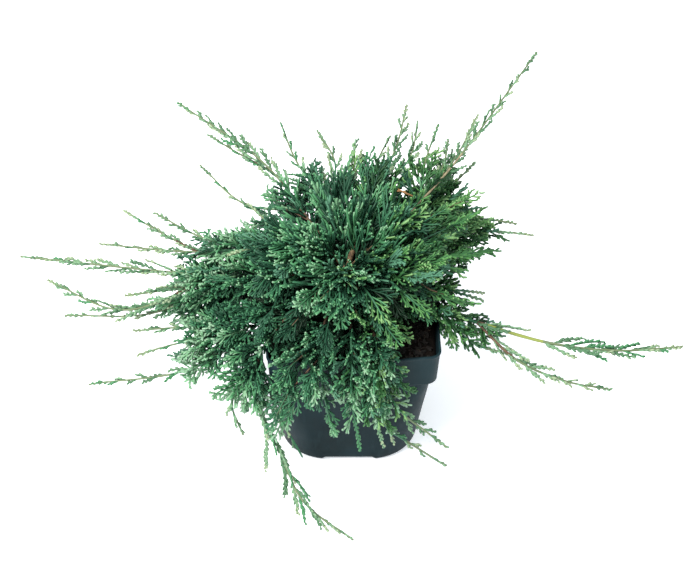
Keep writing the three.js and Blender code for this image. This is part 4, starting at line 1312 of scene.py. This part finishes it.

# %% Sprays of each mass
# Of a twig only its outer part is leafy, over its spray's size. Seven strands in ten have a paler tip,
# partly young growth and partly a painted highlight.
PALE_SHARE = 0.7
outer = dict(twigs)
cut_at = np.clip(1 - twigs["size"] / twigs["length"], 0.0, 0.9)
outer["root"] = bezier(twigs, cut_at)
outer["bend"] = mix(twigs["bend"], twigs["tip"], cut_at[:, None])
strand_thick = np.where(strands["inside"], mix(2.5, 2.9, strands["slim"]), 2.6)
kinds = [
    (outer, np.where(outer["inside"], 2.5, 2.6), [(0.12, 0.9), (0.55, 0.9), (0.9, 0.7)], deal_tints(outer)),
    (strands, strand_thick, [(0.12, 0.8), (0.55, 1.0), (0.92, 0.8)], deal_tints(strands)),
    (lobes, np.where(lobes["inside"], 2.35, 1.9), [(0.22, 0.85), (0.82, 1.0)], deal_tints(lobes)),
]
total = 0
for number, (name, *_) in enumerate(MASSES):
    parts, part_tints = [], []
    for s, thickness, profile, tints in kinds:
        rows = np.flatnonzero(s["mass"] == number)
        points, triangles, each = spindles(pick(s, rows), thickness[rows], profile)
        parts.append((points, triangles))
        # The last three triangles of a strand, its tip cap, are one tint paler: young growth and a painted
        # highlight.
        paler = np.arange(each) >= each - 3
        can_pale = np.isin(tints[rows], CAN_PALE) & (rng.uniform(0, 1, len(rows)) < PALE_SHARE)
        part_tints.append((tints[rows][:, None] + paler * can_pale[:, None]).ravel())
    spray = make_piece("sprays_" + name, *join(parts), leaf_materials, np.concatenate(part_tints))
    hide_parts("foliage_" + name)
    total += len(spray.data.polygons)
    print(spray.name, len(spray.data.polygons))
print("leaf triangles:", total)

# %% [markdown]
# ## Trunk, boughs and stems
# Juniper bark is thin, red-brown to grey, and peels in strips along the limb. The trunk and boughs are
# tubes whose radius is roughened by noise that is stretched along the limb, so that the strips stand up in
# the mesh itself. A bevelled curve would be as quick, but smooth. The stems in the foliage are the same
# tubes: brown where they leave the bough, green further out where scales cover them, and pale or fresh
# green where a whip is bare.

# %% Limbs
def limb_rows(path, radius, around, strips=0.0, seed=0):
    """Rings round a path: p + r (side cos a + out sin a), where r is the radius times 1 + strips times noise.

    The noise is read on a tube of 9 mm, seven times more slowly along the limb than round it.
    """
    along = unit(np.gradient(path, axis=0))
    mean_way = along.mean(0)
    upright = abs(unit(mean_way)[2]) >= 0.9
    level = unit(np.cross(mean_way, [1, 0.1, 0] if upright else [0.31, 0.2, 0.93]))
    side = unit(level - (along @ level)[:, None] * along)
    out = np.cross(along, side)
    a = np.arange(around) * 2 * np.pi / around
    ring = side[:, None] * np.cos(a)[:, None] + out[:, None] * np.sin(a)[:, None]
    far = np.cumsum(np.r_[0, np.linalg.norm(np.diff(path, axis=0), axis=1)])
    on_tube = np.stack(np.broadcast_arrays(np.cos(a) * 9, np.sin(a) * 9, far[:, None] / 7 + seed * 40), -1)
    rough = 1 + strips * (noise(on_tube, 2.6, 5) + 0.6 * noise(on_tube, 1.2, 6))
    return path[:, None] + ring * (radius[:, None] * rough)[..., None]


TRUNK_RADIUS = 8.5
TRUNK_FLARE = 7
share = np.linspace(0, 1, 70)
trunk_path = mix(TRUNK_FOOT, TRUNK_HEAD, share[:, None])
trunk_radius = TRUNK_RADIUS * (1 - 0.25 * share) + TRUNK_FLARE * np.exp(-7 * share)
trunk_radius[-4:] *= np.array([0.97, 0.88, 0.7, 0.4])
trunk = make_piece("trunk_bark", *close_rows(limb_rows(trunk_path, trunk_radius, 72, 0.09)), [aged_bark])
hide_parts("trunk")
print("trunk:", len(trunk.data.polygons), "triangles")

# %% Boughs and stems
# A stem's finish goes by where a ring is: brown near its start, then green, or what BARE says of a stretch.
BOUGH_RADIUS = (2.7, 2.1)
BOUGH_SIDES = 14
STEM_RADIUS = {True: 1.35, False: 1.15}
STEM_END = 0.9
STEM_STEP = 4
STEM_SIDES = 7
bough_parts, stem_parts, stem_finish = [], [], []
for k, line in enumerate(lines):
    path = line["path"]
    if line["main"]:
        bough = path[: line["start"] + 1]
        bough_radius = np.linspace(*BOUGH_RADIUS, len(bough))
        bough_parts.append(close_rows(limb_rows(bough, bough_radius, BOUGH_SIDES, 0.1, k)))
    coarse = path[line["start"] :: STEM_STEP]
    stem = np.concatenate([coarse, path[-1:]]) if np.linalg.norm(coarse[-1] - path[-1]) > 1 else coarse
    stem_radius = np.linspace(of_whip(STOUT, line, STEM_RADIUS[line["main"]]), STEM_END, len(stem))
    points, triangles = close_rows(limb_rows(stem, stem_radius, STEM_SIDES, 0.08, k))
    stem_parts.append((points, triangles))
    ring_share = np.minimum(triangles.max(1) // STEM_SIDES, len(stem) - 1) / len(stem)
    at_ring = coarse[(ring_share * (len(coarse) - 1)).astype(int)]
    full = np.hypot(at_ring[:, 0], at_ring[:, 1]) < of_whip(FULL, line, 0)
    in_mound = (mound_share(at_ring) < MOUND_EDGE) | full
    in_crown = np.where(ring_share > 0.12, GREEN_STEM, BROWN)
    covered = np.where(in_mound, in_crown, np.where(ring_share > 0.3, WHIP_STEM, BROWN))
    bare_from, bare_until, bare_finish = of_whip(BARE, line, NOT_BARE)
    at_mm = line["start"] + ring_share * (len(path) - line["start"])
    stem_finish.append(np.where((at_mm > bare_from) & (at_mm < bare_until), bare_finish, covered))
boughs = make_piece("boughs_bark", *join(bough_parts), [aged_bark])
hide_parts(*["bough_" + name for name, *_ in MASSES])
stems = make_piece("stems", *join(stem_parts), stem_materials, np.concatenate(stem_finish))
print("boughs:", len(boughs.data.polygons), "stems:", len(stems.data.polygons), "triangles")

# %% The leafless feet of the twigs
TWIG_THICK = 1.7
long_twigs = pick(twigs, twigs["length"] > twigs["size"] + 4)
thickness = np.full(len(long_twigs["length"]), TWIG_THICK)
points, triangles, each = spindles(long_twigs, thickness, [(0.04, 1.0), (0.5, 0.8), (0.85, 0.5)], 5)
old_twig = (np.linalg.norm(long_twigs["tip"] - CROWN, axis=1) < 60) | (long_twigs["warmth"] > 0.85)
twig_finish = np.repeat(np.where(old_twig, 0, 1), each)
side_twigs = make_piece("side_twigs", points, triangles, [bark_stem, leaf_materials[SHADE]], twig_finish)
print("side twigs:", len(side_twigs.data.polygons), "triangles")
